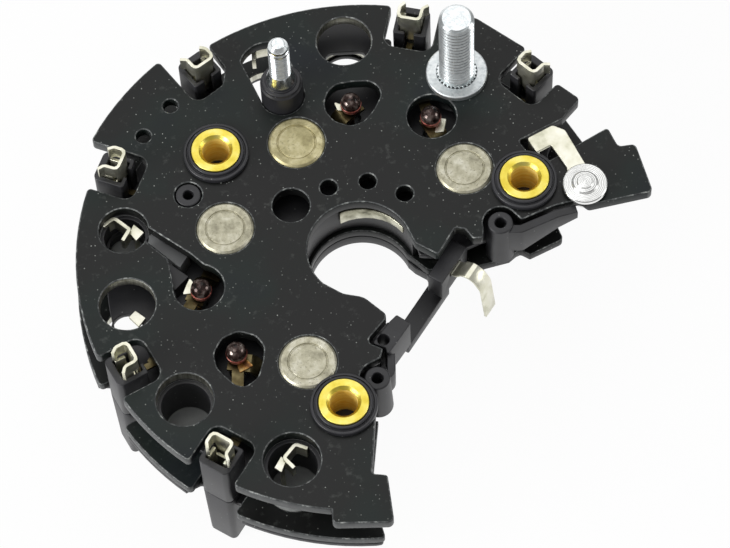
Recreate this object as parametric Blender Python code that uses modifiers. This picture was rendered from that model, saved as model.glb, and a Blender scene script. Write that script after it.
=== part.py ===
"""Alternator rectifier: two stamped heat sinks on a moulded two-piece carrier, with press-fit diodes."""

import math

import bmesh
import bpy

MM = 0.001

# Levels, in millimetres above the feet of the wire chimneys
PLATE_TOP = 35.0
PLATE_THICKNESS = 3.0
PLATE_SPACING = 14.0
LOWER_THICKNESS = 2.5
SEAT = 0.3
PRESS_CLEARANCE = 0.04
WEB_DROP = 8.4
WEB_THICKNESS = 1.6
FLANGE_THICKNESS = 1.4
RING_DEPTH = 3.2

PLATE_BOTTOM = PLATE_TOP - PLATE_THICKNESS
LOWER_TOP = PLATE_TOP - PLATE_SPACING
LOWER_BOTTOM = LOWER_TOP - LOWER_THICKNESS
SEAM = LOWER_TOP + SEAT
WEB_TOP = PLATE_TOP - WEB_DROP
WEB_BOTTOM = WEB_TOP - WEB_THICKNESS
FLANGE_TOP = LOWER_BOTTOM - SEAT
FLANGE_BOTTOM = FLANGE_TOP - FLANGE_THICKNESS
RING_BOTTOM = FLANGE_TOP - RING_DEPTH

# Plan radii about the rotor shaft
RIM_RADIUS = 63.2
SHOULDER_STEP = 3.8
LOWER_RIM_STEP = 0.8
WEB_INSET = 6.2
SHAFT_RADIUS = 11.66
SHAFT_WALL_SETBACK = 0.95
SHAFT_WALL = 1.6
SHAFT_RING_WALL = 2.26
SHAFT_RING_SETBACK = 0.04

SHOULDER_RADIUS = RIM_RADIUS + SHOULDER_STEP
LOWER_RIM_RADIUS = RIM_RADIUS + LOWER_RIM_STEP
WEB_RADIUS = RIM_RADIUS - WEB_INSET

# Wire towers: angle about the shaft and the side on which the clip's plain leg stands
TOWERS = ((125.7, 1), (75.4, -1), (45.3, -1), (157.2, 1), (206.8, 1), (236.5, 1))
TOWER_INSET = 4.7
TOWER_CIRCLE = RIM_RADIUS - TOWER_INSET
TOWER_HALF_WIDTH = 3.8
TOWER_OUT = 3.9
TOWER_IN = 3.4
TOWER_SIDE_WALL = 1.15
TOWER_FRONT_WALL = 1.7
TOWER_BACK_WALL = 0.85
TOWER_SLOT = 2.2
TOWER_RISE = 1.4
TOWER_DRAFT = 0.9
NOTCH_SIDE_GAP = 1.8
NOTCH_BACK_GAP = 2.7
NOTCH_RADIUS = 2.6

# Round features in plan: spare diode seats, diodes, bushes and posts
SPARE_CIRCLE_RADIUS = 6.25
SPARE_OPEN = ((-1.0, 53.55), (-51.9, -10.6))
SPARE_CUPPED = ((-21.6, 48.05), (-39.85, -34.55), (-17.1, -50.3))
SLOTTED_CUP = (-52.4, 7.8)
SLOTTED_CUP_RADIUS = 5.5
CUP_RADIUS = 6.4
CUP_WALL = 1.0
CUP_FLOOR_DROP = 12.0
SEAT_MARGIN = 0.6
BUSH_TUBE_WALL = 1.6

DIODE_RADIUS = 6.385
DIODE_BASE = 3.6
DIODE_BODY_RADIUS = 5.2
LEAD_RADIUS = 0.6
LEAD_HOLE_RADIUS = 2.0
DIODE_PAIRS = (
    ((-12.9, 27.7), (-0.2, 37.9)),
    ((24.5, 18.7), (17.9, 32.6)),
    ((-29.7, 6.9), (-36.5, -7.3)),
    ((-12.7, -27.2), (-28.1, -24.5)),
)
BEAD_RADIUS = 2.3

BUSHES = ((-31.1, 25.8), (37.6, 14.5), (-5.3, -38.25))
BUSH_BORE_RADIUS = 3.1
BUSH_RADIUS = 4.3
BUSH_FLANGE_RADIUS = 5.54
BUSH_FLANGE = 1.1
BUSH_RISE = 2.2
COLLAR_RADIUS = 7.4
COLLAR_STEP_RADIUS = 6.35
COLLAR_TUBE_RADIUS = 5.2
COLLAR_RISE = 1.3

BATTERY_STUD = (24.2, 43.0)
BATTERY_STUD_RADIUS = 4.0
BATTERY_STUD_RISE = 24.9
BATTERY_HEAD_RADIUS = 6.0
BATTERY_HEAD = 3.6
WASHER_RADIUS = 7.0
WASHER_THICKNESS = 1.6
FIELD_STUD = (-15.6, 40.1)
FIELD_STUD_RADIUS = 2.43
FIELD_STUD_RISE = 23.2
FIELD_SLEEVE_RADIUS = 4.6
FIELD_SPIGOT_RADIUS = 3.1
FIELD_COLLAR_RADIUS = 3.3
FIELD_HEAD_RADIUS = 3.2
FIELD_HEAD = 2.0
FIELD_SLEEVE_RISE = 7.5

BOSS_RIGHT = (31.6, 4.5)
BOSS_LEFT = (2.3, -32.0)
BOSS_RADIUS = 3.0
BOSS_GAP = 0.9
PILOT_RADIUS = 1.3
PILOT_DEPTH = 9.0
LOCATING_RING = (-37.7, 15.9)
LOCATING_RING_RADIUS = 2.8
LOCATING_BORE = 1.2
VENTS = ((-6.2, 15.8), (2.6, 16.8), (10.7, 13.2))
VENT_RADIUS = 1.93
LARGE_VENT = (-14.8, 11.8)
LARGE_VENT_RADIUS = 4.18
TOOLING_HOLES = ((-41.1, 39.05), (-47.4, 31.6))
TOOLING_RADIUS = 1.7
WINDOW_RADII = (5.55, 5.3)
RIVET = (51.0, 12.3)
RIVET_HEAD_RADIUS = 5.15
RIVET_SHANK_RADIUS = 2.0
RIVET_FOOT_RADIUS = 3.4
RIVET_FOOT = 1.4
STRIP_THICKNESS = 0.8

# Closing bar, block and tongue lie square to this direction from the shaft
BAR_ANGLE = -34.9
BAR_REACH = SHAFT_RADIUS + 1.54
BAR_WIDTH = 4.4
BAR_ENDS = (-8.4, 9.4)
BLOCK_DEPTH = 3.8
BLOCK_ENDS = (4.6, 15.4)
BLOCK_TOP = PLATE_BOTTOM - 3.0
TONGUE_MIDDLE = 10.2
TONGUE_WIDTH = 4.0
TONGUE_THICKNESS = 0.6
TONGUE_LEVEL = WEB_TOP + 0.6
TONGUE_RISE = 2.6

# What rests on the upper plate stands off it by this
SURFACE_GAP = 0.1

# Bars from each phase strip: its tower, the level that the bar lies on, and points on the way
TOWER_BARS = (
    ((0, "low", ()),),
    ((1, "high", ()), (2, "low", ())),
    ((4, "high", ()), (3, "low", ((-39.5, 9.5),))),
    ((5, "high", ()),),
)
TOWER_BAR_WIDTH = 2.6

HOLE_STEPS = 14
MOULDED_STEPS = 10
SMALL_STEPS = 8
RING_STEPS = 30
ARC_STEP = 10.0
FILLET_ERROR = 0.25


def polar(radius, degrees, centre=(0, 0)):
    angle = math.radians(degrees)
    return centre[0] + radius * math.cos(angle), centre[1] + radius * math.sin(angle)


def arc(radius, start, end, centre=(0, 0)):
    count = max(2, math.ceil(abs(end - start) / ARC_STEP))
    angles = [start + (end - start) * i / count for i in range(count + 1)]
    return [(*polar(radius, angle, centre), 0) for angle in angles]


def circle(centre, radius, steps=HOLE_STEPS):
    return [polar(radius, 360 * i / steps, centre) for i in range(steps)]


def box(x0, y0, x1, y1):
    return [(x0, y0), (x1, y0), (x1, y1), (x0, y1)]


def rounded(corners):
    """Replaces each corner (x, y, radius) with its fillet."""
    points = []
    for i, (x, y, radius) in enumerate(corners):
        if not radius:
            points.append((x, y))
            continue
        before, after = corners[i - 1], corners[(i + 1) % len(corners)]
        back = (before[0] - x, before[1] - y)
        ahead = (after[0] - x, after[1] - y)
        back_length, ahead_length = math.hypot(*back), math.hypot(*ahead)
        back = (back[0] / back_length, back[1] / back_length)
        ahead = (ahead[0] / ahead_length, ahead[1] / ahead_length)
        inside = math.acos(max(-1, min(1, back[0] * ahead[0] + back[1] * ahead[1])))
        reach = min(radius / math.tan(inside / 2), 0.45 * back_length, 0.45 * ahead_length)
        fillet = reach * math.tan(inside / 2)
        middle = (back[0] + ahead[0], back[1] + ahead[1])
        length = math.hypot(*middle)
        out = fillet / math.sin(inside / 2) / length
        centre = (x + middle[0] * out, y + middle[1] * out)
        start = math.atan2(y + back[1] * reach - centre[1], x + back[0] * reach - centre[0])
        end = math.atan2(y + ahead[1] * reach - centre[1], x + ahead[0] * reach - centre[0])
        turn = (end - start + math.pi) % (2 * math.pi) - math.pi
        step_angle = 2 * math.acos(max(0, 1 - FILLET_ERROR / fillet))
        count = max(1, math.ceil(abs(turn) / step_angle))
        for step in range(count + 1):
            points.append(polar(fillet, math.degrees(start + turn * step / count), centre))
    return points


def band(path, thickness):
    """The outline of a strip of even thickness about a path of (x, y, bend radius)."""
    half = thickness / 2
    sides = ([], [])
    for i, (x, y, radius) in enumerate(path):
        before = path[max(i - 1, 0)]
        after = path[min(i + 1, len(path) - 1)]
        into = math.atan2(y - before[1], x - before[0]) if i else None
        out = math.atan2(after[1] - y, after[0] - x) if i < len(path) - 1 else into
        into = out if into is None else into
        turn = (out - into + math.pi) % (2 * math.pi) - math.pi
        normal = into + turn / 2 + math.pi / 2
        reach = half / math.cos(turn / 2)
        for side, sign in zip(sides, (1, -1)):
            bend = radius - sign * half * (1 if turn > 0 else -1) if radius else 0
            shift_x, shift_y = polar(sign * reach, math.degrees(normal))
            side.append((x + shift_x, y + shift_y, max(bend, 0)))
    return rounded(sides[1] + sides[0][::-1])


def collection(name):
    if name not in bpy.data.collections:
        bpy.context.scene.collection.children.link(bpy.data.collections.new(name))
    return bpy.data.collections[name]


def clear_scene():
    for obj in list(bpy.data.objects):
        bpy.data.objects.remove(obj, do_unlink=True)


def evaluated_mesh(obj):
    bpy.context.view_layer.update()
    graph = bpy.context.evaluated_depsgraph_get()
    return bpy.data.meshes.new_from_object(obj.evaluated_get(graph))


def baked(obj):
    """The evaluated mesh of an object, welded and facing out; the object is removed."""
    mesh = evaluated_mesh(obj)
    shape = bmesh.new()
    shape.from_mesh(mesh)
    bmesh.ops.remove_doubles(shape, verts=shape.verts, dist=0.0005 * MM)
    bmesh.ops.recalc_face_normals(shape, faces=shape.faces)
    shape.to_mesh(mesh)
    shape.free()
    bpy.data.objects.remove(obj, do_unlink=True)
    return mesh


def flat(loops, bottom, top):
    """A mesh that fills the first loop, less the others, between two levels."""
    curve = bpy.data.curves.new("outline", "CURVE")
    curve.dimensions = "2D"
    curve.fill_mode = "BOTH"
    curve.extrude = (top - bottom) / 2 * MM
    for loop in loops:
        spline = curve.splines.new("POLY")
        spline.points.add(len(loop) - 1)
        for point, (x, y) in zip(spline.points, loop):
            point.co = (x * MM, y * MM, 0, 1)
        spline.use_cyclic_u = True
    obj = bpy.data.objects.new("outline", curve)
    bpy.context.scene.collection.objects.link(obj)
    mesh = baked(obj)
    for vertex in mesh.vertices:
        vertex.co.z += (top + bottom) / 2 * MM
    return mesh


def turned(profile, steps=HOLE_STEPS):
    """A mesh turned about Z from a profile of (radius, height), read down its outer side."""
    mesh = bpy.data.meshes.new("profile")
    ends = [(i, i + 1) for i in range(len(profile) - 1)]
    mesh.from_pydata([(radius * MM, 0, height * MM) for radius, height in profile], ends, [])
    obj = bpy.data.objects.new("profile", mesh)
    bpy.context.scene.collection.objects.link(obj)
    screw = obj.modifiers.new("Screw", "SCREW")
    screw.steps = screw.render_steps = steps
    screw.use_merge_vertices = True
    screw.merge_threshold = 0.00001
    return baked(obj)


def tube(outer, inner, bottom, top, steps=HOLE_STEPS):
    return turned([(inner, top), (outer, top), (outer, bottom), (inner, bottom), (inner, top)], steps)


def rod(radius, bottom, top, steps=HOLE_STEPS):
    return turned([(0, top), (radius, top), (radius, bottom), (0, bottom)], steps)


def place(name, mesh, at=(0, 0), level=0, turn=0, tilt=0, group="alternator_rectifier"):
    obj = bpy.data.objects.new(name, mesh)
    obj.location = (at[0] * MM, at[1] * MM, level * MM)
    obj.rotation_euler = (math.radians(tilt), 0, math.radians(turn))
    obj.parent = bpy.data.objects["shaft_axis"]
    collection(group).objects.link(obj)
    return obj


def tool(name, mesh, at=(0, 0), level=0, turn=0, tilt=0):
    """A shape that only takes part in a Boolean."""
    obj = place(name, mesh, at, level, turn, tilt, "construction")
    obj.hide_render = True
    obj.display_type = "WIRE"
    return obj


def combine(target, operation, tools):
    """Joins the tools to an object, or cuts them from it, and removes them."""
    group = bpy.data.collections.new("tools")
    for obj in tools:
        group.objects.link(obj)
    boolean = target.modifiers.new(operation.title(), "BOOLEAN")
    boolean.operation = operation
    boolean.operand_type = "COLLECTION"
    boolean.solver = "EXACT"
    boolean.collection = group
    target.data = evaluated_mesh(target)
    target.modifiers.clear()
    for obj in tools:
        bpy.data.objects.remove(obj, do_unlink=True)
    bpy.data.collections.remove(group)
    return target


def material(name, colour, roughness, metallic=0.0):
    made = bpy.data.materials.new(name)
    made.use_nodes = True
    shader = made.node_tree.nodes["Principled BSDF"]
    shader.inputs["Base Color"].default_value = (*colour, 1)
    shader.inputs["Roughness"].default_value = roughness
    shader.inputs["Metallic"].default_value = metallic
    return made


def finish(obj, made, smooth_degrees=35):
    """Gives a copy of its own material to an object and shades its round faces smooth."""
    own = made.copy()
    own.name = f"{obj.name}_{made.name}"
    if not obj.data.materials:
        obj.data.materials.append(None)
    obj.material_slots[0].link = "OBJECT"
    obj.material_slots[0].material = own
    obj.data.shade_smooth()
    obj.data.set_sharp_from_angle(angle=math.radians(smooth_degrees))
    return obj


def tower_point(angle, across, out):
    """Plan position of a point given across and outwards from a tower's centre."""
    x, y = polar(TOWER_CIRCLE + out, angle)
    side_x, side_y = polar(across, angle + 90)
    return x + side_x, y + side_y


def bar_point(out, along):
    """Plan position of a point given outwards from the shaft and along the closing bar."""
    x, y = polar(out, BAR_ANGLE)
    side_x, side_y = polar(along, BAR_ANGLE + 90)
    return x + side_x, y + side_y


def notch(angle, start_out, end_out, trimmed=False):
    """Corners of the cut-out that lets a tower through, from its clockwise lip to the other."""
    half = TOWER_HALF_WIDTH + NOTCH_SIDE_GAP
    floor = -TOWER_IN - NOTCH_BACK_GAP
    first = [(-half, floor, NOTCH_RADIUS)]
    if trimmed:
        first = [(-half + 0.5, floor + 3.4, 1.5), (-half + 3.6, floor + 0.2, 1.5)]
    local = [(-half, start_out, 1.0), *first, (half, floor, NOTCH_RADIUS), (half, end_out, 1.0)]
    return [(*tower_point(angle, across, out), radius) for across, out, radius in local]


def rim_notch(angle, before_radius, after_radius, trimmed=False):
    """A notch whose lips lie on the plate's rim, which may change radius there."""
    half = TOWER_HALF_WIDTH + NOTCH_SIDE_GAP
    lips = [math.sqrt(radius**2 - half**2) - TOWER_CIRCLE for radius in (before_radius, after_radius)]
    return notch(angle, *lips, trimmed)


def rim(radius, start, end):
    """The rim between two notches or other corners, clear of both."""
    return arc(radius, start + 8.5, end - 8.5)


def around_boss(centre, start, end):
    return arc(BOSS_RADIUS + BOSS_GAP, start, end, centre)


def left_rim(radius):
    """The rim from the tower beside the battery stud round to the last tower, common to both plates."""
    (upper_left, _), (top, _), (_, _), (left, _), (low_left, _), (bottom, _) = TOWERS
    return (
        rim_notch(top, RIM_RADIUS, radius)
        + rim(radius, top, upper_left)
        + rim_notch(upper_left, radius, SHOULDER_RADIUS, trimmed=True)
        + rim(SHOULDER_RADIUS, upper_left, left)
        + rim_notch(left, SHOULDER_RADIUS, radius)
        + rim(radius, left, low_left)
        + rim_notch(low_left, radius, radius)
        + rim(radius, low_left, bottom)
        + rim_notch(bottom, radius, radius)
    )


def inner_edge():
    """The edge from the left boss round the shaft cut-out, common to both plates."""
    return (
        around_boss(BOSS_LEFT, -95, -245)
        + [(3.2, -27.2, 0.8), (3.9, -24.9, 0.5), (0.2, -23.1, 1.2), (5.5, -17.0, 1.5)]
        + [(0.3, -12.0, 4), (-4.2, -10.9, 3)]
        + arc(SHAFT_RADIUS, 224, 26)
    )


def upper_outline():
    tail_and_slot = [
        (36.3, 4.9, 0.8),
        (44.0, 8.0, 3),
        (49.9, 9.2, 1.5),
        (51.5, 7.6, 1.2),
        (66.2, 10.2, 1.2),
        (63.2, 22.6, 1.2),
        (59.3, 22.2, 1.2),
        (57.3, 27.2, 0.8),
        (43.3, 19.4, 1.2),
        (39.2, 21.6, 0.8),
        (37.1, 25.0, 0.6),
        (47.2, 29.9, 0.8),
        (51.8, 34.9, 1.2),
    ]
    foot = [
        (-9.1, -62.4, 0.8),
        (-9.1, -65.8, 1.2),
        (4.2, -66.3, 1.3),
        (3.3, -55.1, 0.8),
        (0.0, -54.6, 0.8),
    ]
    return rounded(
        [(12.3, 0.6, 2), (17.3, -2.9, 0.8), (21.5, 4.0, 1.2), (26.2, 2.2, 1.2)]
        + around_boss(BOSS_RIGHT, 195, 45)
        + tail_and_slot
        + notch(TOWERS[2][0], 2.4, 4.8)
        + [(29.6, 57.8, 3)]
        + left_rim(RIM_RADIUS)
        + rim(RIM_RADIUS, TOWERS[5][0], 270)
        + foot
        + inner_edge()
    )


def lower_outline():
    right = [
        (14.6, -0.6, 1),
        (23.4, 0.4, 1),
        (27.4, 1.2, 2),
        (33.6, 2.6, 1),
        (36.0, 4.6, 1.2),
        (38.3, 3.1, 0.5),
        (46.2, 6.7, 1.2),
        (44.4, 12.0, 3),
        (44.8, 26.0, 4),
        (51.6, 34.9, 1.2),
    ]
    return rounded(
        right
        + notch(TOWERS[2][0], 2.4, 4.8)
        + [(29.6, 57.8, 3)]
        + left_rim(LOWER_RIM_RADIUS)
        + arc(LOWER_RIM_RADIUS, TOWERS[5][0] + 8.5, 270)
        + [(2.2, -63.9, 1.2), (-0.4, -53.0, 2)]
        + inner_edge()
    )


def bead_openings():
    """The windows in the upper plate over the four negative diodes' leads, and the slot from the cup."""
    _, second, third, _ = (negative for _, negative in DIODE_PAIRS)
    window_1 = [(-7.2, 36.0, 2), (-5.4, 42.6, 3), (6.0, 43.2, 3)]
    window_1 += [(6.9, 37.6, 2), (2.2, 31.2, 2), (-3.2, 32.0, 2)]
    window_4 = [(-34.4, -24.4, 2), (-28.2, -32.6, 3), (-24.6, -31.4, 2), (-21.3, -21.0, 3), (-29.6, -17.8, 3)]
    slot = [(-47.2, 9.4, 1), (-35.9, -1.6, 1), (-42.0, -2.6, 1), (-49.0, 4.0, 1)]
    windows = [rounded(window_1), rounded(window_4)]
    windows += [circle(spot, radius) for spot, radius in zip((second, third), WINDOW_RADII)]
    return windows, rounded(slot)


def positive_heat_sink():
    windows, slot = bead_openings()
    seats = [circle(spot, SPARE_CIRCLE_RADIUS) for spot in SPARE_OPEN + SPARE_CUPPED]
    diodes = [circle(spot, DIODE_RADIUS + PRESS_CLEARANCE) for spot, _ in DIODE_PAIRS]
    bushes = [circle(spot, COLLAR_TUBE_RADIUS + SEAT) for spot in BUSHES]
    small = [circle(spot, VENT_RADIUS, SMALL_STEPS) for spot in VENTS]
    small += [circle(spot, TOOLING_RADIUS, SMALL_STEPS) for spot in TOOLING_HOLES]
    small += [
        circle(LARGE_VENT, LARGE_VENT_RADIUS),
        circle(LOCATING_RING, LOCATING_RING_RADIUS + SEAT, SMALL_STEPS),
        circle(BATTERY_STUD, BATTERY_STUD_RADIUS + SEAT),
        circle(FIELD_STUD, FIELD_SPIGOT_RADIUS + 0.2),
        circle(RIVET, RIVET_SHANK_RADIUS + SEAT, SMALL_STEPS),
    ]
    loops = [upper_outline()] + seats + windows + diodes + bushes + small
    plate = place("positive_heat_sink", flat(loops, PLATE_BOTTOM, PLATE_TOP))
    low, high = PLATE_BOTTOM - 1, PLATE_TOP + 1
    cutters = [
        tool("slotted_cup_opening", rod(SLOTTED_CUP_RADIUS, low, high), SLOTTED_CUP),
        tool("slot_opening", flat([slot], low, high)),
    ]
    return combine(plate, "DIFFERENCE", cutters)


def negative_heat_sink():
    seats = [circle(spot, SPARE_CIRCLE_RADIUS) for spot in SPARE_OPEN + SPARE_CUPPED]
    seats.append(circle(SLOTTED_CUP, SLOTTED_CUP_RADIUS))
    diodes = [circle(spot, DIODE_RADIUS + PRESS_CLEARANCE) for _, spot in DIODE_PAIRS]
    bushes = [circle(spot, BUSH_RADIUS + PRESS_CLEARANCE) for spot in BUSHES]
    loops = [lower_outline()] + seats + diodes + bushes
    return place("negative_heat_sink", flat(loops, LOWER_BOTTOM, LOWER_TOP))


def tower_outline():
    return rounded([
        (-TOWER_HALF_WIDTH, -TOWER_IN, 0.6),
        (TOWER_HALF_WIDTH, -TOWER_IN, 0.6),
        (TOWER_HALF_WIDTH, TOWER_OUT, 1.4),
        (-TOWER_HALF_WIDTH, TOWER_OUT, 1.4),
    ])


def cavity_outline():
    side = TOWER_HALF_WIDTH - TOWER_SIDE_WALL
    return box(-side, -TOWER_IN + TOWER_BACK_WALL, side, TOWER_OUT - TOWER_FRONT_WALL)


def chimney():
    """Lower half of a wire tower: a closed square tube, drawn in a little towards its foot."""
    mesh = flat([tower_outline(), cavity_outline()], 0, LOWER_TOP)
    for vertex in mesh.vertices:
        if vertex.co.z < LOWER_TOP / 2 * MM:
            vertex.co.x *= TOWER_DRAFT
            vertex.co.y *= TOWER_DRAFT
    return mesh


def carrier_web():
    """The floor of the upper carrier, with the leads' holes."""
    holes = [circle(spot, LEAD_HOLE_RADIUS, SMALL_STEPS) for _, spot in DIODE_PAIRS]
    right = [
        (19.0, 1.0, 1),
        (27.4, 4.4, 2),
        (36.0, 6.4, 1),
        (43.8, 9.0, 1.5),
        (43.8, 26.0, 4),
        (47.0, 32.4, 1),
    ]
    left = [
        (-1.6, -53.0, 1),
        (0.6, -36.0, 2),
        (3.6, -32.0, 1),
        (3.2, -24.0, 1),
        (4.2, -18.5, 1),
        (-1.0, -13.4, 1),
    ]
    inside = arc(SHAFT_RADIUS + SHAFT_WALL_SETBACK + SHAFT_WALL / 2, 225, 8)
    edge = rounded(right + arc(WEB_RADIUS, 37, 262) + left + inside)
    return flat([edge] + holes, WEB_BOTTOM, WEB_TOP)


def upper_carrier():
    under_plate = PLATE_BOTTOM - SEAT
    tower_top = PLATE_TOP + TOWER_RISE
    tower = flat([tower_outline()], SEAM, tower_top)
    cavity = flat([cavity_outline()], SEAM - 1, tower_top + 1)
    slot = flat([box(-TOWER_SLOT / 2, -TOWER_IN - 1, TOWER_SLOT / 2, 0)], WEB_TOP, tower_top + 1)
    carrier = place("upper_carrier", carrier_web())
    pieces = []
    cutters = []
    for angle, _ in TOWERS:
        at, turn = polar(TOWER_CIRCLE, angle), angle - 90
        pieces.append(tool("tower", tower, at, turn=turn))
        cutters.append(tool("tower_cavity", cavity, at, turn=turn))
        cutters.append(tool("tower_slot", slot, at, turn=turn))
    clearance = rod(SPARE_CIRCLE_RADIUS + SEAT_MARGIN, SEAM, under_plate, MOULDED_STEPS)
    tube_radius = BUSH_RADIUS + SEAT
    bush_tube = rod(tube_radius + BUSH_TUBE_WALL, SEAM, under_plate, MOULDED_STEPS)
    bush_bore = rod(tube_radius, SEAM - 1, under_plate + 1, MOULDED_STEPS)
    for spot in SPARE_OPEN:
        cutters.append(tool("seat_clearance", clearance, spot))
    for spot in SPARE_CUPPED + (SLOTTED_CUP,):
        radius = CUP_RADIUS if spot != SLOTTED_CUP else SLOTTED_CUP_RADIUS + 0.1
        hollow = rod(radius - CUP_WALL, PLATE_TOP - CUP_FLOOR_DROP, under_plate + 1, MOULDED_STEPS)
        pieces.append(tool("cup", rod(radius, SEAM, under_plate, MOULDED_STEPS), spot))
        cutters.append(tool("cup_hollow", hollow, spot))
    for spot in BUSHES:
        pieces.append(tool("bush_tube", bush_tube, spot))
        cutters.append(tool("bush_bore", bush_bore, spot))
    taper = [(0, PLATE_TOP), (BOSS_RADIUS - 0.2, PLATE_TOP), (BOSS_RADIUS + 0.3, SEAM), (0, SEAM)]
    boss = turned(taper, MOULDED_STEPS)
    pilot = rod(PILOT_RADIUS, PLATE_TOP - PILOT_DEPTH, PLATE_TOP + 1, SMALL_STEPS)
    for spot in (BOSS_RIGHT, BOSS_LEFT):
        pieces.append(tool("boss", boss, spot))
        cutters.append(tool("pilot", pilot, spot))
    post = rod(LOCATING_RING_RADIUS, WEB_BOTTOM + 0.4, PLATE_TOP, SMALL_STEPS)
    bore = rod(LOCATING_BORE, WEB_TOP + 1, PLATE_TOP + 1, SMALL_STEPS)
    pieces.append(tool("locating_post", post, LOCATING_RING))
    cutters.append(tool("locating_bore", bore, LOCATING_RING))
    pieces.append(tool("shaft_wall", flat([shaft_wall_outline()], SEAM, under_plate)))
    pieces += edge_walls()
    block, slot = tongue_block()
    pieces.append(tool("tongue_block", block, turn=BAR_ANGLE))
    cutters.append(tool("tongue_slot", slot, turn=BAR_ANGLE))
    combine(carrier, "UNION", pieces)
    return combine(carrier, "DIFFERENCE", cutters)


def tongue_block():
    """The block that holds the contact tongue, and the slot that the tongue sits in."""
    block_back = BAR_REACH + 1.6
    block = flat([box(block_back, BLOCK_ENDS[0], block_back + BLOCK_DEPTH, BLOCK_ENDS[1])], SEAM, BLOCK_TOP)
    across = TONGUE_WIDTH / 2 + SEAT
    room = TONGUE_THICKNESS / 2 + SEAT
    mouth = block_back + BLOCK_DEPTH + 1
    outline = box(mouth - BLOCK_DEPTH - 0.4, TONGUE_MIDDLE - across, mouth, TONGUE_MIDDLE + across)
    return block, flat([outline], TONGUE_LEVEL - room, TONGUE_LEVEL + room)


def shaft_wall_outline():
    """The wall round the shaft cut-out, just behind the upper plate's edge."""
    inner = SHAFT_RADIUS + SHAFT_WALL_SETBACK
    return [point[:2] for point in arc(inner, 20, 222) + arc(inner + SHAFT_WALL, 222, 20)]


def edge_walls():
    """The two walls that stand along the plate's open side, one at each boss."""
    right = band([(32.5, 3.2, 0), (36.2, 3.0, 1), (44.4, 6.3, 3), (48.8, 7.3, 0)], 2.0)
    left = band([(5.6, -25.2, 0), (5.4, -29.6, 1.5), (3.4, -31.5, 0)], 1.8)
    arm = rounded([
        (5.7, -17.9, 0.4),
        (7.3, -16.4, 0.4),
        (10.3, -18.7, 0.4),
        (7.4, -22.7, 0.4),
        (4.8, -26.2, 0.4),
        (4.4, -24.3, 0.4),
        (1.5, -23.1, 0.6),
    ])
    return [
        tool("right_wall", flat([right], WEB_BOTTOM + 0.5, PLATE_TOP - 0.6)),
        tool("left_wall", flat([left], WEB_BOTTOM + 0.5, PLATE_TOP - 2.2)),
        tool("left_arm", flat([arm, circle((4.1, -22.3), 1.0, SMALL_STEPS)], SEAM + 2.4, PLATE_TOP - 1.0)),
    ]


def lower_carrier():
    """The lower moulding: a flange under the lower plate, the ring round the shaft and six chimneys."""
    open_seats = SPARE_OPEN + SPARE_CUPPED + (SLOTTED_CUP,)
    holes = [circle(spot, SPARE_CIRCLE_RADIUS + SEAT_MARGIN, MOULDED_STEPS) for spot in open_seats]
    holes += [circle(spot, DIODE_RADIUS + SEAT_MARGIN, MOULDED_STEPS) for _, spot in DIODE_PAIRS]
    holes += [circle(spot, BUSH_RADIUS + SEAT, MOULDED_STEPS) for spot in BUSHES]
    edge = rounded(
        [(27.4, 2.4, 2), (33.4, 4.0, 1), (43.6, 8.4, 1.2), (43.8, 26.0, 4), (49.6, 34.6, 1)]
        + [(38.8, 50.9, 2), (29.0, 57.2, 3)]
        + arc(LOWER_RIM_RADIUS, 70, 270)
        + [(1.8, -63.8, 1.2), (-0.8, -53.0, 2), (1.2, -36.6, 2), (-3.6, -31.6, 3), (0.6, -26.0, 1)]
        + [(5.0, -21.5, 1)]
        + [(*bar_point(BAR_REACH + 4.1, BAR_ENDS[0] - 1.0), 1)]
        + [(*bar_point(BAR_REACH + 0.6, BAR_ENDS[0] + 0.2), 1)]
        + arc(SHAFT_RADIUS + SHAFT_RING_WALL / 2, 290, -8)
    )
    carrier = place("lower_carrier", flat([edge] + holes, FLANGE_BOTTOM, FLANGE_TOP))
    ring_inside = SHAFT_RADIUS + SHAFT_RING_SETBACK
    ring = tube(ring_inside + SHAFT_RING_WALL, ring_inside, RING_BOTTOM, FLANGE_TOP, RING_STEPS)
    bar = flat([box(BAR_REACH, BAR_ENDS[0], BAR_REACH + BAR_WIDTH, BAR_ENDS[1])], RING_BOTTOM, FLANGE_TOP)
    half_gap = BAR_REACH / 2
    gap = flat([box(half_gap / 2, -half_gap, BAR_REACH, half_gap)], RING_BOTTOM - 1, FLANGE_TOP + 1)
    pieces = [tool("shaft_ring", ring), tool("closing_bar", bar, turn=BAR_ANGLE)]
    cutters = [tool("bar_clearance", gap, turn=BAR_ANGLE)]
    bore = flat([cavity_outline()], FLANGE_BOTTOM - 0.5, FLANGE_TOP + 0.5)
    for angle, _ in TOWERS:
        at, turn = polar(TOWER_CIRCLE, angle), angle - 90
        pieces.append(tool("chimney", chimney(), at, turn=turn))
        cutters.append(tool("chimney_bore", bore, at, turn=turn))
    combine(carrier, "UNION", pieces)
    return combine(carrier, "DIFFERENCE", cutters)


def diode_profile(lead):
    """A press-fit diode, base face up, with its lead hanging down to the given depth."""
    return [
        (0, 0),
        (4.05, 0),
        (4.2, -0.25),
        (4.5, -0.25),
        (4.65, 0),
        (DIODE_RADIUS - 0.3, 0),
        (DIODE_RADIUS, -0.3),
        (DIODE_RADIUS, -DIODE_BASE),
        (DIODE_BODY_RADIUS, -DIODE_BASE),
        (DIODE_BODY_RADIUS - 0.2, -DIODE_BASE - 1.2),
        (1.5, -DIODE_BASE - 2.3),
        (LEAD_RADIUS, -DIODE_BASE - 2.6),
        (LEAD_RADIUS, -lead),
        (0, -lead),
    ]


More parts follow.
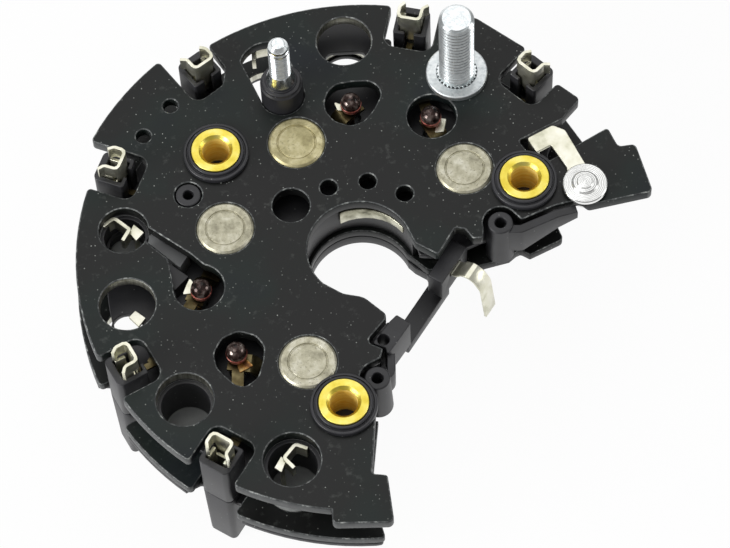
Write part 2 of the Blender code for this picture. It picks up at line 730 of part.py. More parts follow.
def diodes_and_strips(metal, bead_metal, tin):
    low_level = WEB_TOP + SEAT + STRIP_THICKNESS / 2
    high_level = PLATE_BOTTOM - 1.1
    positive = turned(diode_profile(PLATE_TOP - low_level - STRIP_THICKNESS / 2 - SEAT))
    negative = turned(diode_profile(high_level + STRIP_THICKNESS / 2 - LOWER_BOTTOM))
    bead = turned([
        (BEAD_RADIUS * math.sin(math.radians(a)), BEAD_RADIUS * math.cos(math.radians(a)))
        for a in range(0, 181, 30)
    ], MOULDED_STEPS)
    bead_level = high_level + STRIP_THICKNESS / 2 + SEAT + BEAD_RADIUS
    for i, (upper, lower) in enumerate(DIODE_PAIRS, 1):
        finish(place(f"positive_diode_{i}", positive, upper, PLATE_TOP), metal)
        finish(place(f"negative_diode_{i}", negative, lower, LOWER_BOTTOM, tilt=180), metal)
        finish(place(f"weld_bead_{i}", bead, lower, bead_level), bead_metal)
        finish(phase_strip(i, upper, lower, low_level, high_level), tin)


def phase_strip(number, positive, negative, low_level, high_level):
    """A stepped strip from a negative diode's lead to a positive one's, with bars to its towers."""
    run = math.dist(positive, negative)
    heading = math.degrees(math.atan2(positive[1] - negative[1], positive[0] - negative[0]))
    path = [(-2.2, high_level, 0), (3.4, high_level, 0.9), (5.6, low_level, 0.9), (run + 2.2, low_level, 0)]
    profile = flat([band(path, STRIP_THICKNESS)], -2.1, 2.1)
    strip = place(f"phase_strip_{number}", profile, negative, turn=heading, tilt=90)
    bars = []
    for index, level, way in TOWER_BARS[number - 1]:
        height, start = (high_level, negative) if level == "high" else (low_level, positive)
        end = tower_point(TOWERS[index][0], 0, -TOWER_IN + 0.9)
        near = tower_point(TOWERS[index][0], 0, -TOWER_IN - 2.5)
        outline = band([(*start, 0), *((*point, 2) for point in way), (*near, 1)], TOWER_BAR_WIDTH)
        half = STRIP_THICKNESS / 2 - 0.01
        bars.append(tool("tower_bar", flat([outline], height - half, height + half)))
        tip = band([(*tower_point(TOWERS[index][0], 0, -TOWER_IN - 4), 0), (*end, 0)], TOWER_SLOT - 0.8)
        bars.append(tool("tower_bar_tip", flat([tip], height - half + 0.02, height + half - 0.02)))
    combine(strip, "UNION", bars)
    eye = tool("lead_hole", rod(LEAD_RADIUS + SEAT, high_level - 2, high_level + 2, SMALL_STEPS), negative)
    return combine(strip, "DIFFERENCE", [eye])


def clip_mesh(side):
    """The folded clip that grips a stator wire: a back wall with two ears, its plain leg on one side."""
    path = [(1.9, 2.0, 0), (2.85, 0.8, 0.6), (2.85, -1.9, 0.9)]
    path += [(-2.2, -1.9, 0.8), (-2.3, 1.2, 0.6), (-3.5, 2.2, 0)]
    outline = band([(x * side, y, radius) for x, y, radius in path], STRIP_THICKNESS - 0.1)
    if side < 0:
        outline = outline[::-1]
    top, ears, foot = PLATE_TOP + 6.5, PLATE_TOP + 2.7, PLATE_TOP - 2.5
    clip = tool("clip", flat([outline], foot, top))
    limit = TOWER_HALF_WIDTH - TOWER_SIDE_WALL - SEAT
    cutters = [
        tool("ear_cutter", flat([box(-6, -1.5, 6, 6)], foot - 1, ears)),
        tool("side_cutter", flat([box(limit, -6, 6, 6)], foot - 1, ears)),
        tool("side_cutter", flat([box(-6, -6, -limit, 6)], foot - 1, ears)),
    ]
    return baked(combine(clip, "DIFFERENCE", cutters))


def fork_mesh():
    """The fork inside a tower: two side legs joined low at the back."""
    reach = TOWER_HALF_WIDTH - TOWER_SIDE_WALL - SEAT - (STRIP_THICKNESS - 0.1) / 2
    path = [(-reach, 1.8, 0), (-reach, -0.9, 0.6), (reach, -0.9, 0.6), (reach, 1.8, 0)]
    outline = band(path, STRIP_THICKNESS - 0.1)
    top, shoulder, foot = PLATE_TOP + 2.1, PLATE_TOP - 1.5, PLATE_TOP - 7.0
    fork = tool("fork", flat([outline], foot, top))
    cutters = [tool("back_cutter", flat([box(-reach + 0.4, -3, reach - 0.4, 0)], shoulder, top + 1))]
    cutters.append(tool("corner_cutter", flat([box(-5, -3, 5, -0.6)], shoulder, top + 1)))
    return baked(combine(fork, "DIFFERENCE", cutters))


def tower_metalwork(tin):
    clips = {side: clip_mesh(side) for side in (1, -1)}
    fork = fork_mesh()
    for i, (angle, side) in enumerate(TOWERS, 1):
        at, turn = polar(TOWER_CIRCLE, angle), angle - 90
        finish(place(f"stator_clip_{i}", clips[side], at, turn=turn), tin)
        finish(place(f"terminal_fork_{i}", fork, at, turn=turn), tin)


def spare_terminals(tin):
    """The unused hooks that stand in three of the cups."""
    hook_path = [(-3.6, -1.5, 0), (-2.5, 0.6, 0.5), (-0.3, 0.6, 0.7), (0.6, -1.2, 0.7), (3.2, -1.2, 0)]
    branch_path = [(-1.6, 0.4, 0), (-2.6, 2.8, 0)]
    bottom, top = PLATE_TOP - 8.0, PLATE_TOP - 3.6
    hook = flat([band(hook_path, STRIP_THICKNESS)], bottom, top)
    branch = flat([band(branch_path, STRIP_THICKNESS)], bottom + 0.1, top - 0.1)
    pad = flat([box(2.0, -2.1, 3.7, -0.4)], bottom + 0.2, bottom + 0.2 + STRIP_THICKNESS)
    post = flat([box(-0.5, -0.5, 0.6, 0.7)], PLATE_TOP - CUP_FLOOR_DROP + SEAT, bottom + 0.5)
    spots = ((SPARE_CUPPED[0], 130), (SLOTTED_CUP, 10), (SPARE_CUPPED[2], 250))
    for i, (spot, turn) in enumerate(spots, 1):
        terminal = place(f"spare_terminal_{i}", hook, spot, turn=turn)
        combine(terminal, "UNION", [tool("part", mesh, spot, turn=turn) for mesh in (branch, pad, post)])
        finish(terminal, tin)


def bushes(brass, collar_plastic):
    top = PLATE_TOP + BUSH_RISE
    bush = turned([
        (BUSH_BORE_RADIUS, top - 0.4),
        (BUSH_BORE_RADIUS + 0.4, top),
        (BUSH_FLANGE_RADIUS - 0.2, top),
        (BUSH_FLANGE_RADIUS, top - 0.2),
        (BUSH_FLANGE_RADIUS, top - BUSH_FLANGE),
        (BUSH_RADIUS, top - BUSH_FLANGE),
        (BUSH_RADIUS, FLANGE_BOTTOM),
        (BUSH_BORE_RADIUS, FLANGE_BOTTOM),
        (BUSH_BORE_RADIUS, top - 0.4),
    ])
    shelf = top - BUSH_FLANGE - 0.1
    bore = BUSH_RADIUS + 0.15
    collar = turned([
        (BUSH_FLANGE_RADIUS + 0.15, top - 0.2),
        (COLLAR_STEP_RADIUS - 0.2, top - 0.2),
        (COLLAR_STEP_RADIUS, top - 0.4),
        (COLLAR_STEP_RADIUS, PLATE_TOP + COLLAR_RISE),
        (COLLAR_RADIUS - 0.3, PLATE_TOP + COLLAR_RISE),
        (COLLAR_RADIUS, PLATE_TOP + COLLAR_RISE - 0.3),
        (COLLAR_RADIUS, PLATE_TOP + SURFACE_GAP),
        (COLLAR_TUBE_RADIUS, PLATE_TOP + SURFACE_GAP),
        (COLLAR_TUBE_RADIUS, PLATE_BOTTOM),
        (bore, PLATE_BOTTOM),
        (bore, shelf),
        (BUSH_FLANGE_RADIUS + 0.15, shelf),
        (BUSH_FLANGE_RADIUS + 0.15, top - 0.2),
    ])
    for i, spot in enumerate(BUSHES, 1):
        finish(place(f"mounting_bush_{i}", bush, spot), brass)
        finish(place(f"insulating_collar_{i}", collar, spot), collar_plastic)


def studs(zinc, black):
    tip = PLATE_TOP + BATTERY_STUD_RISE
    washer_top = PLATE_TOP + SURFACE_GAP + WASHER_THICKNESS - 0.1
    base = washer_top + 0.1
    head = PLATE_BOTTOM - 0.2
    battery = turned([
        (0, tip),
        (BATTERY_STUD_RADIUS - 0.7, tip),
        (BATTERY_STUD_RADIUS, tip - 0.7),
        (BATTERY_STUD_RADIUS, base + 0.6),
        (BATTERY_STUD_RADIUS + 0.5, base + 0.4),
        (BATTERY_STUD_RADIUS + 0.5, base - 1.0),
        (BATTERY_STUD_RADIUS, base - 1.0),
        (BATTERY_STUD_RADIUS, head),
        (BATTERY_HEAD_RADIUS, head),
        (BATTERY_HEAD_RADIUS, head - BATTERY_HEAD),
        (0, head - BATTERY_HEAD),
    ])
    finish(place("battery_stud", battery, BATTERY_STUD), zinc)
    hole = BATTERY_STUD_RADIUS + 0.7
    washer = turned([
        (hole, washer_top),
        (WASHER_RADIUS - 0.3, washer_top),
        (WASHER_RADIUS, washer_top - 0.3),
        (WASHER_RADIUS, PLATE_TOP + SURFACE_GAP),
        (hole, PLATE_TOP + SURFACE_GAP),
        (hole, washer_top),
    ])
    finish(place("battery_stud_washer", washer, BATTERY_STUD), zinc)
    tip = PLATE_TOP + FIELD_STUD_RISE
    shoulder = PLATE_TOP + FIELD_SLEEVE_RISE
    foot = WEB_TOP + SEAT
    field = turned([
        (0, tip),
        (FIELD_STUD_RADIUS - 0.5, tip),
        (FIELD_STUD_RADIUS, tip - 0.5),
        (FIELD_STUD_RADIUS, shoulder + 2.2),
        (FIELD_COLLAR_RADIUS, shoulder + 1.6),
        (FIELD_COLLAR_RADIUS, shoulder + SEAT),
        (FIELD_STUD_RADIUS, shoulder + SEAT),
        (FIELD_STUD_RADIUS, foot + FIELD_HEAD),
        (FIELD_HEAD_RADIUS, foot + FIELD_HEAD),
        (FIELD_HEAD_RADIUS, foot),
        (0, foot),
    ])
    finish(place("field_stud", field, FIELD_STUD), zinc)
    bore = FIELD_STUD_RADIUS + 0.1
    sleeve = turned([
        (bore, shoulder),
        (FIELD_SLEEVE_RADIUS - 0.9, shoulder),
        (FIELD_SLEEVE_RADIUS - 0.3, shoulder - 0.6),
        (FIELD_SLEEVE_RADIUS, PLATE_TOP + SURFACE_GAP),
        (FIELD_SPIGOT_RADIUS, PLATE_TOP + SURFACE_GAP),
        (FIELD_SPIGOT_RADIUS, foot + FIELD_HEAD + SEAT),
        (bore, foot + FIELD_HEAD + SEAT),
        (bore, shoulder),
    ])
    finish(place("field_stud_sleeve", sleeve, FIELD_STUD), black)


def link(tin, aluminium):
    """The strip over the slot in the plate, and the rivet that holds it to the tail."""
    bottom = PLATE_TOP + SURFACE_GAP
    outline = rounded([
        (54.3, 12.4, 3.0),
        (51.6, 17.4, 0.6),
        (47.2, 28.0, 1.2),
        (44.8, 28.6, 0.8),
        (38.3, 25.4, 0.2),
        (40.1, 21.8, 0.2),
        (44.4, 23.6, 0.6),
        (47.3, 17.0, 0.6),
        (47.4, 11.0, 3.0),
        (51.0, 8.8, 3.0),
    ])
    hole = circle(RIVET, RIVET_SHANK_RADIUS + SEAT, SMALL_STEPS)
    strip = place("link_strip", flat([outline, hole], bottom, bottom + STRIP_THICKNESS))
    lip = band([(39.0, 25.9, 0), (40.7, 22.1, 0)], STRIP_THICKNESS)
    combine(strip, "UNION", [tool("link_lip", flat([lip], PLATE_TOP - 4.2, bottom + STRIP_THICKNESS - 0.2))])
    finish(strip, tin)
    seat = bottom + STRIP_THICKNESS + SURFACE_GAP
    under = PLATE_BOTTOM - SURFACE_GAP
    rivet = turned([
        (0, seat + 2.0),
        (1.3, seat + 1.9),
        (2.2, seat + 1.1),
        (RIVET_HEAD_RADIUS - 0.4, seat + 1.1),
        (RIVET_HEAD_RADIUS, seat + 0.6),
        (RIVET_HEAD_RADIUS, seat),
        (RIVET_SHANK_RADIUS, seat),
        (RIVET_SHANK_RADIUS, under),
        (RIVET_FOOT_RADIUS, under),
        (RIVET_FOOT_RADIUS - 0.4, under - RIVET_FOOT),
        (0, under - RIVET_FOOT),
    ])
    finish(place("link_rivet", rivet, RIVET), aluminium)


def contact_tongue(tin):
    """A springy strip that leaves the block beside the shaft, arches out and hangs down."""
    front = BAR_REACH + 1.6 + BLOCK_DEPTH
    top = TONGUE_LEVEL + TONGUE_RISE
    path = [
        (front - 2.6, TONGUE_LEVEL, 0),
        (front + 1.0, TONGUE_LEVEL, 1.4),
        (front + 2.8, top, 1.6),
        (front + 5.6, top, 1.8),
        (front + 7.8, TONGUE_LEVEL - 0.4, 1.6),
        (front + 9.1, FLANGE_BOTTOM - 1.2, 0),
    ]
    profile = flat([band(path, TONGUE_THICKNESS)], -TONGUE_WIDTH / 2, TONGUE_WIDTH / 2)
    at = polar(TONGUE_MIDDLE, BAR_ANGLE + 90)
    finish(place("contact_tongue", profile, at, turn=BAR_ANGLE, tilt=90), tin)


def inner_arc_strip(tin):
    inner, outer = SHAFT_RADIUS + 0.15, SHAFT_RADIUS + 0.65
    outline = [point[:2] for point in arc(inner, 34, 110) + arc(outer, 110, 34)]
    finish(place("inner_arc_strip", flat([outline], WEB_BOTTOM + 0.4, PLATE_BOTTOM - 1.0)), tin)


def centre_on_origin():
    """Moves the shaft axis so that the whole part's box stands centred on the origin."""
    bpy.context.view_layer.update()
    graph = bpy.context.evaluated_depsgraph_get()
    corners = []
    for obj in collection("alternator_rectifier").objects:
        if obj.type == "MESH":
            seen = obj.evaluated_get(graph)
            corners += [seen.matrix_world @ vertex.co for vertex in seen.to_mesh().vertices]
            seen.to_mesh_clear()
    axis = bpy.data.objects["shaft_axis"]
    for i in (0, 1):
        values = [corner[i] for corner in corners]
        axis.location[i] = -(min(values) + max(values)) / 2


def main():
    clear_scene()
    axis = bpy.data.objects.new("shaft_axis", None)
    collection("alternator_rectifier").objects.link(axis)
    painted = material("black_coating", (0.012, 0.014, 0.014), 0.38, 0.2)
    moulded = material("grey_moulding", (0.035, 0.035, 0.038), 0.6)
    diode_metal = material("nickel_base", (0.45, 0.43, 0.36), 0.45, 0.9)
    bead_metal = material("weld_metal", (0.16, 0.11, 0.10), 0.35, 0.9)
    tin = material("tinned_strip", (0.72, 0.72, 0.58), 0.35, 0.9)
    brass = material("brass", (0.82, 0.62, 0.10), 0.28, 1.0)
    zinc = material("bright_zinc", (0.70, 0.74, 0.76), 0.25, 1.0)
    aluminium = material("rivet_aluminium", (0.80, 0.82, 0.80), 0.3, 1.0)
    finish(positive_heat_sink(), painted)
    finish(negative_heat_sink(), painted)
    finish(upper_carrier(), moulded)
    finish(lower_carrier(), moulded)
    diodes_and_strips(diode_metal, bead_metal, tin)
    tower_metalwork(tin)
    spare_terminals(tin)
    bushes(brass, moulded)
    studs(zinc, moulded)
    link(tin, aluminium)
    contact_tongue(tin)
    inner_arc_strip(tin)
    centre_on_origin()


main()
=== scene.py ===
import math

import bmesh
import bpy
from mathutils import Matrix, Vector


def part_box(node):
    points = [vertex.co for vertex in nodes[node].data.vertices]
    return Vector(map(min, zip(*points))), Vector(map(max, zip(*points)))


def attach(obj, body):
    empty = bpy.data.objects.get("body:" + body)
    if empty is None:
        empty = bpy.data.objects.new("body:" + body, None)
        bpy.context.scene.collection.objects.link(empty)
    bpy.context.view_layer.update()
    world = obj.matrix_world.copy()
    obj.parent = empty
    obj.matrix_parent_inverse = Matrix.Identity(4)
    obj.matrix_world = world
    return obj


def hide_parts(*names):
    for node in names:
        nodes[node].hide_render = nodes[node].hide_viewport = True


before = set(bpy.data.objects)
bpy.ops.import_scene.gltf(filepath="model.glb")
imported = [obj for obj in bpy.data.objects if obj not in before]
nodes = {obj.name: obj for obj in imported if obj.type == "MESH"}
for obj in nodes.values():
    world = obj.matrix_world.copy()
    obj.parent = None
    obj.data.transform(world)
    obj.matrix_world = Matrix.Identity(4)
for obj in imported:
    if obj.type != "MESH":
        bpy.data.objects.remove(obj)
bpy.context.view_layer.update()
mm = 0.001
print("frame loaded,", len(nodes), "nodes")

# everything below is in millimetres about the shaft axis, as seen from above, with heights from the feet
stud = {"centre": (24.2, 43.0), "radius": 4.0, "pitch": 1.25, "root": 3.33, "chamfer": 0.8, "knurl": 4.62,
        "teeth": 30}
studLow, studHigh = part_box("battery_stud")
shaftAxis = Vector(((studLow.x + studHigh.x) / 2 - stud["centre"][0] * mm,
                    (studLow.y + studHigh.y) / 2 - stud["centre"][1] * mm, 0))
plateBottom, plateTop = (corner.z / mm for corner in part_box("positive_heat_sink"))
lowerBottom, lowerTop = (corner.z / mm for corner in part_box("negative_heat_sink"))
# the lower moulding's flange lies under the lower plate, and the upper moulding's floor between the plates
flangeTop = lowerBottom - 0.3
flangeBottom = flangeTop - 1.4
seam = lowerTop + 0.3
underPlate = plateBottom - 0.3
webTop = plateTop - 8.4
webBottom = webTop - 1.6


def linear(hexColour):
    parts = [int(hexColour[i:i + 2], 16) / 255 for i in (1, 3, 5)]
    return tuple(c / 12.92 if c <= 0.04045 else ((c + 0.055) / 1.055) ** 2.4 for c in parts) + (1,)


def polar(radius, degrees, centre=(0, 0)):
    angle = math.radians(degrees)
    return centre[0] + radius * math.cos(angle), centre[1] + radius * math.sin(angle)


def arc(radius, start, end, centre=(0, 0), step=3):
    count = max(2, math.ceil(abs(end - start) / step))
    return [(*polar(radius, start + (end - start) * i / count, centre), 0) for i in range(count + 1)]


def circle(centre, radius, steps=72):
    return [polar(radius, 360 * i / steps, centre) for i in range(steps)]


def rectangle(x0, y0, x1, y1, radius=0.0):
    return rounded([(x0, y0, radius), (x1, y0, radius), (x1, y1, radius), (x0, y1, radius)])


def rounded(corners, closed=True):
    # each corner (x, y, radius) becomes a fillet
    points = []
    for i, (x, y, radius) in enumerate(corners):
        if not radius or (not closed and i in (0, len(corners) - 1)):
            points.append((x, y))
            continue
        here = Vector((x, y))
        back = Vector(corners[i - 1][:2]) - here
        ahead = Vector(corners[(i + 1) % len(corners)][:2]) - here
        inside = back.angle(ahead)
        reach = min(radius / math.tan(inside / 2), 0.45 * back.length, 0.45 * ahead.length)
        fillet = reach * math.tan(inside / 2)
        middle = here + (back.normalized() + ahead.normalized()).normalized() * fillet / math.sin(inside / 2)
        first = here + back.normalized() * reach - middle
        last = here + ahead.normalized() * reach - middle
        start = math.atan2(first.y, first.x)
        turn = (math.atan2(last.y, last.x) - start + math.pi) % (2 * math.pi) - math.pi
        count = max(2, math.ceil(abs(turn) / 0.2))
        for step in range(count + 1):
            points.append(polar(fillet, math.degrees(start + turn * step / count), middle))
    return points


def band(path, thickness):
    # the outline of a strip of even thickness about a path of (x, y, bend radius)
    half = thickness / 2
    sides = ([], [])
    for i, (x, y, radius) in enumerate(path):
        before, after = path[max(i - 1, 0)], path[min(i + 1, len(path) - 1)]
        out = math.atan2(after[1] - y, after[0] - x) if i < len(path) - 1 else None
        into = math.atan2(y - before[1], x - before[0]) if i else out
        out = into if out is None else out
        turn = (out - into + math.pi) % (2 * math.pi) - math.pi
        normal = into + turn / 2 + math.pi / 2
        reach = half / math.cos(turn / 2)
        for side, sign in zip(sides, (1, -1)):
            bend = max(radius - sign * half * math.copysign(1, turn), 0) if radius else 0
            side.append((x + sign * reach * math.cos(normal), y + sign * reach * math.sin(normal), bend))
    return rounded(sides[1] + sides[0][::-1])


def placed(mesh, at=(0, 0), level=0, turn=0, tilt=0):
    # a mesh made about the origin is tilted and turned, and set at its place about the shaft axis
    move = Matrix.Translation(shaftAxis + Vector((at[0], at[1], level)) * mm)
    turned = Matrix.Rotation(math.radians(turn), 4, "Z")
    tilted = Matrix.Rotation(math.radians(tilt), 4, "X")
    mesh.transform(move @ turned @ tilted)
    return mesh


def addObject(name, data):
    obj = bpy.data.objects.new(name, data)
    bpy.context.scene.collection.objects.link(obj)
    return obj


def meshFrom(shape, name):
    mesh = bpy.data.meshes.new(name)
    shape.to_mesh(mesh)
    shape.free()
    return mesh


def distance(face, spot):
    return math.dist(((face.center - shaftAxis) / mm)[:2], spot)


def piece(name, mesh, node, looks, sharp=35):
    # a finished mesh becomes a piece of the part, in place of a CAD node
    mesh.shade_smooth()
    mesh.set_sharp_from_angle(angle=math.radians(sharp))
    for face in mesh.polygons:
        if abs(face.normal.z) > 0.999:
            face.use_smooth = False  # level faces stay plain right up to their rounded edges
    obj = addObject(name, mesh)
    for look in looks if isinstance(looks, (list, tuple)) else [looks]:
        mesh.materials.append(look)
    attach(obj, "root")
    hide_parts(node)
    return obj


def slab(loops, bottom, top, edge=0.2, edgeSteps=2):
    # a flat outline with holes, raised between two levels, with rounded edges
    curve = bpy.data.curves.new("outline", "CURVE")
    curve.dimensions = "2D"
    curve.fill_mode = "BOTH"
    curve.extrude = ((top - bottom) / 2 - edge) * mm
    curve.bevel_depth = edge * mm
    curve.offset = -edge * mm
    curve.bevel_resolution = edgeSteps
    for loop in loops:
        spline = curve.splines.new("POLY")
        spline.points.add(len(loop) - 1)
        for point, (x, y) in zip(spline.points, loop):
            point.co = (x * mm, y * mm, 0, 1)
        spline.use_cyclic_u = True
    obj = addObject("outline", curve)
    bpy.context.view_layer.update()
    mesh = bpy.data.meshes.new_from_object(obj.evaluated_get(bpy.context.evaluated_depsgraph_get()))
    bpy.data.objects.remove(obj)
    shape = bmesh.new()
    shape.from_mesh(mesh)
    bmesh.ops.remove_doubles(shape, verts=shape.verts, dist=0.002 * mm)
    bmesh.ops.translate(shape, verts=shape.verts, vec=(0, 0, (top + bottom) / 2 * mm))
    bmesh.ops.recalc_face_normals(shape, faces=shape.faces)
    shape.to_mesh(mesh)
    shape.free()
    return mesh


def spun(corners, steps=72, closed=True):
    # a turned form from a profile of (radius, height, fillet)
    shape = bmesh.new()
    points = [shape.verts.new((r * mm, 0, z * mm)) for r, z in rounded(corners, closed)]
    pairs = list(zip(points, points[1:] + points[:1])) if closed else list(zip(points, points[1:]))
    edges = [shape.edges.new(pair) for pair in pairs]
    bmesh.ops.spin(shape, geom=points + edges, cent=(0, 0, 0), axis=(0, 0, 1), angle=math.tau,
                   steps=steps, use_merge=True)
    bmesh.ops.remove_doubles(shape, verts=shape.verts, dist=0.001 * mm)
    bmesh.ops.recalc_face_normals(shape, faces=shape.faces)
    return meshFrom(shape, "turned")


def softened(node):
    # the node's own shape with its edges rounded
    width = 0.1
    shape = bmesh.new()
    shape.from_mesh(nodes[node].data)
    bmesh.ops.remove_doubles(shape, verts=shape.verts, dist=0.002 * mm)
    bmesh.ops.dissolve_limit(shape, angle_limit=math.radians(0.5), verts=shape.verts, edges=shape.edges)
    sharp = [edge for edge in shape.edges if len(edge.link_faces) == 2
             and edge.calc_face_angle() > math.radians(50)]
    bmesh.ops.bevel(shape, geom=sharp, offset=width * mm, affect="EDGES", segments=2, profile=0.5,
                    material=-1, clamp_overlap=True)
    return meshFrom(shape, node)


# materials

def feed(node, links):
    # what is linked into a node: another node's first output, or the output that is named
    for key, source in links.items():
        node.id_data.links.new(getattr(source, "outputs", [source])[0], node.inputs[key])


def addNode(tree, kind, settings=None, values=None, links=None):
    # a node with its settings, its input values and its links; a Mix node of colours has its factor at 0,
    # its two colours at 6 and 7 and its result at 2
    node = tree.nodes.new(kind)
    for key, value in (settings or {}).items():
        if key == "stops":
            while len(node.color_ramp.elements) < len(value):
                node.color_ramp.elements.new(0.5)
            for element, (place, colour) in zip(node.color_ramp.elements, value):
                element.position = place
                element.color = linear(colour)
        else:
            setattr(node, key, value)
    for key, value in (values or {}).items():
        node.inputs[key].default_value = value
    feed(node, links or {})
    return node


def newMaterial(name, colour, roughness, metallic=0.0):
    # a material with its tree, its Principled node and a position in millimetres
    made = bpy.data.materials.new(name)
    made.use_nodes = True
    tree = made.node_tree
    shader = tree.nodes["Principled BSDF"]
    shader.inputs["Base Color"].default_value = linear(colour)
    shader.inputs["Roughness"].default_value = roughness
    shader.inputs["Metallic"].default_value = metallic
    corner = addNode(tree, "ShaderNodeTexCoord")
    place = addNode(tree, "ShaderNodeVectorMath", {"operation": "SCALE"}, {"Scale": 1000.0},
                    {0: corner.outputs["Object"]})
    return made, tree, shader, place


def coatedPlate():
    # aluminium stamping under a black dip coat: smooth and half glossy, with cloudy patches of a faint green
    # and blue cast painted in as the coat's sheen
    made, tree, shader, place = newMaterial("blackDipCoat", "#121314", 0.4)
    shader.inputs["IOR"].default_value = 1.36
    clouds = addNode(tree, "ShaderNodeTexNoise", values={"Scale": 1 / 30, "Detail": 3.0},
                     links={"Vector": place})
    # painted sheen: the clouds tint the black towards green and blue in patches
    tone = addNode(tree, "ShaderNodeValToRGB",
                   {"stops": [(0.36, "#111111"), (0.5, "#151716"), (0.6, "#171F1D"), (0.72, "#151B20")]},
                   links={"Fac": clouds})
    # dust lies in grains of 0.2 mm, one to a cell of 1.1 mm, some bright and most faint
    cells = addNode(tree, "ShaderNodeTexVoronoi", values={"Scale": 1 / 1.1}, links={"Vector": place})
    grain = addNode(tree, "ShaderNodeMapRange", values={"From Min": 0.14, "From Max": 0.08},
                    links={"Value": cells.outputs["Distance"]})
    bright = addNode(tree, "ShaderNodeMapRange", values={"From Min": 0.45, "From Max": 1.0, "To Max": 0.9},
                     links={"Value": cells.outputs["Color"]})
    dust = addNode(tree, "ShaderNodeMath", {"operation": "MULTIPLY"}, links={0: grain, 1: bright})
    # wiping marks, 1 to 3 mm long, faintly greyer
    smear = addNode(tree, "ShaderNodeTexNoise", values={"Scale": 1 / 2.4, "Detail": 6.0, "Roughness": 0.7},
                    links={"Vector": place})
    veil = addNode(tree, "ShaderNodeMapRange", values={"From Min": 0.58, "From Max": 0.75, "To Max": 0.07},
                   links={"Value": smear})
    haze = addNode(tree, "ShaderNodeMath", {"operation": "MAXIMUM"}, links={0: dust, 1: veil})
    mixed = addNode(tree, "ShaderNodeMix", {"data_type": "RGBA"}, {7: linear("#C4C8C2")}, {0: haze, 6: tone})
    gloss = addNode(tree, "ShaderNodeMapRange",
                    values={"From Min": 0.35, "From Max": 0.7, "To Min": 0.34, "To Max": 0.5},
                    links={"Value": clouds})
    # the coat's orange peel is 0.9 mm across
    peel = addNode(tree, "ShaderNodeTexNoise", values={"Scale": 1 / 0.9}, links={"Vector": place})
    relief = addNode(tree, "ShaderNodeBump", values={"Distance": 0.008 * mm}, links={"Height": peel})
    feed(shader, {"Base Color": mixed.outputs[2], "Roughness": gloss, "Normal": relief})
    return made


def edgeWearAndLight(name, stops):
    # the same coat on the stamped edges and walls, in greys that are partly rubbed thin to grey metal and
    # partly painted highlight and painted light
    made, tree, shader, place = newMaterial(name, "#2A2C2C", 0.42)
    rubs = addNode(tree, "ShaderNodeTexNoise", values={"Scale": 1 / 1.3, "Detail": 6.0, "Roughness": 0.7},
                   links={"Vector": place})
    tone = addNode(tree, "ShaderNodeValToRGB", {"stops": stops}, links={"Fac": rubs})
    feed(shader, {"Base Color": tone})
    return made


def punchedWall():
    # bare aluminium in the seats, drawn smooth and scored along the punch's way
    made, tree, shader, place = newMaterial("punchedAluminiumWall", "#C9C9BC", 0.34, 1.0)
    along = addNode(tree, "ShaderNodeMapping", values={"Scale": (1, 1, 0.06)}, links={"Vector": place})
    scores = addNode(tree, "ShaderNodeTexNoise", values={"Scale": 1 / 0.7, "Detail": 4.0, "Roughness": 0.6},
                     links={"Vector": along})
    tone = addNode(tree, "ShaderNodeValToRGB",
                   {"stops": [(0.3, "#8F8F80"), (0.5, "#C9C8BA"), (0.7, "#E4E4DA")]}, links={"Fac": scores})
    relief = addNode(tree, "ShaderNodeBump", values={"Distance": 0.03 * mm}, links={"Height": scores})
    feed(shader, {"Base Color": tone, "Normal": relief})
    return made


def filledPolyester(name, dark, light, roughness):
    # glass-filled polyester from a mould: even dark grey with a fine matt grain and pale handling dust
    made, tree, shader, place = newMaterial(name, dark, roughness)
    blotches = addNode(tree, "ShaderNodeTexNoise", values={"Scale": 1 / 7, "Detail": 4.0},
                       links={"Vector": place})
    tone = addNode(tree, "ShaderNodeValToRGB", {"stops": [(0.35, dark), (0.7, light)]},
                   links={"Fac": blotches})
    cells = addNode(tree, "ShaderNodeTexVoronoi", values={"Scale": 1 / 1.9}, links={"Vector": place})
    dust = addNode(tree, "ShaderNodeMapRange", values={"From Min": 0.08, "From Max": 0.05, "To Max": 0.45},
                   links={"Value": cells.outputs["Distance"]})
    mixed = addNode(tree, "ShaderNodeMix", {"data_type": "RGBA"}, {7: linear("#B4B5B1")}, {0: dust, 6: tone})
    # spark-eroded mould grain, 0.3 mm
    grain = addNode(tree, "ShaderNodeTexNoise", values={"Scale": 1 / 0.3}, links={"Vector": place})
    relief = addNode(tree, "ShaderNodeBump", values={"Distance": 0.012 * mm}, links={"Height": grain})
    worn = addNode(tree, "ShaderNodeMapRange",
                   values={"To Min": roughness - 0.07, "To Max": roughness + 0.09}, links={"Value": blotches})
    feed(shader, {"Base Color": mixed.outputs[2], "Normal": relief, "Roughness": worn})
    return made


def turnedBrass(number, centre):
    # bright free-cutting brass off a lathe: clean yellow, with fine rings round the bush's own axis
    made, tree, shader, place = newMaterial(f"turnedBrass{number}", "#E8D766", 0.34, 1.0)
    middle = (shaftAxis.x / mm + centre[0], shaftAxis.y / mm + centre[1], 0)
    around = addNode(tree, "ShaderNodeMapping", {"vector_type": "TEXTURE"}, {"Location": middle},
                     {"Vector": place})
    # a wave repeats every 0.314 / scale, so the tool's marks are 0.16 mm apart
    rings = addNode(tree, "ShaderNodeTexWave", {"wave_type": "RINGS", "rings_direction": "Z"},
                    {"Scale": 2.0, "Distortion": 0.4, "Detail": 2.0}, {"Vector": around})
    film = addNode(tree, "ShaderNodeTexNoise", values={"Scale": 1 / 2.6, "Detail": 3.0},
                   links={"Vector": place})
    tone = addNode(tree, "ShaderNodeValToRGB",
                   {"stops": [(0.3, "#DCC64C"), (0.5, "#EBD860"), (0.75, "#F4E88C")]}, links={"Fac": film})
    relief = addNode(tree, "ShaderNodeBump", values={"Distance": 0.006 * mm}, links={"Height": rings})
    feed(shader, {"Base Color": tone, "Normal": relief})
    return made


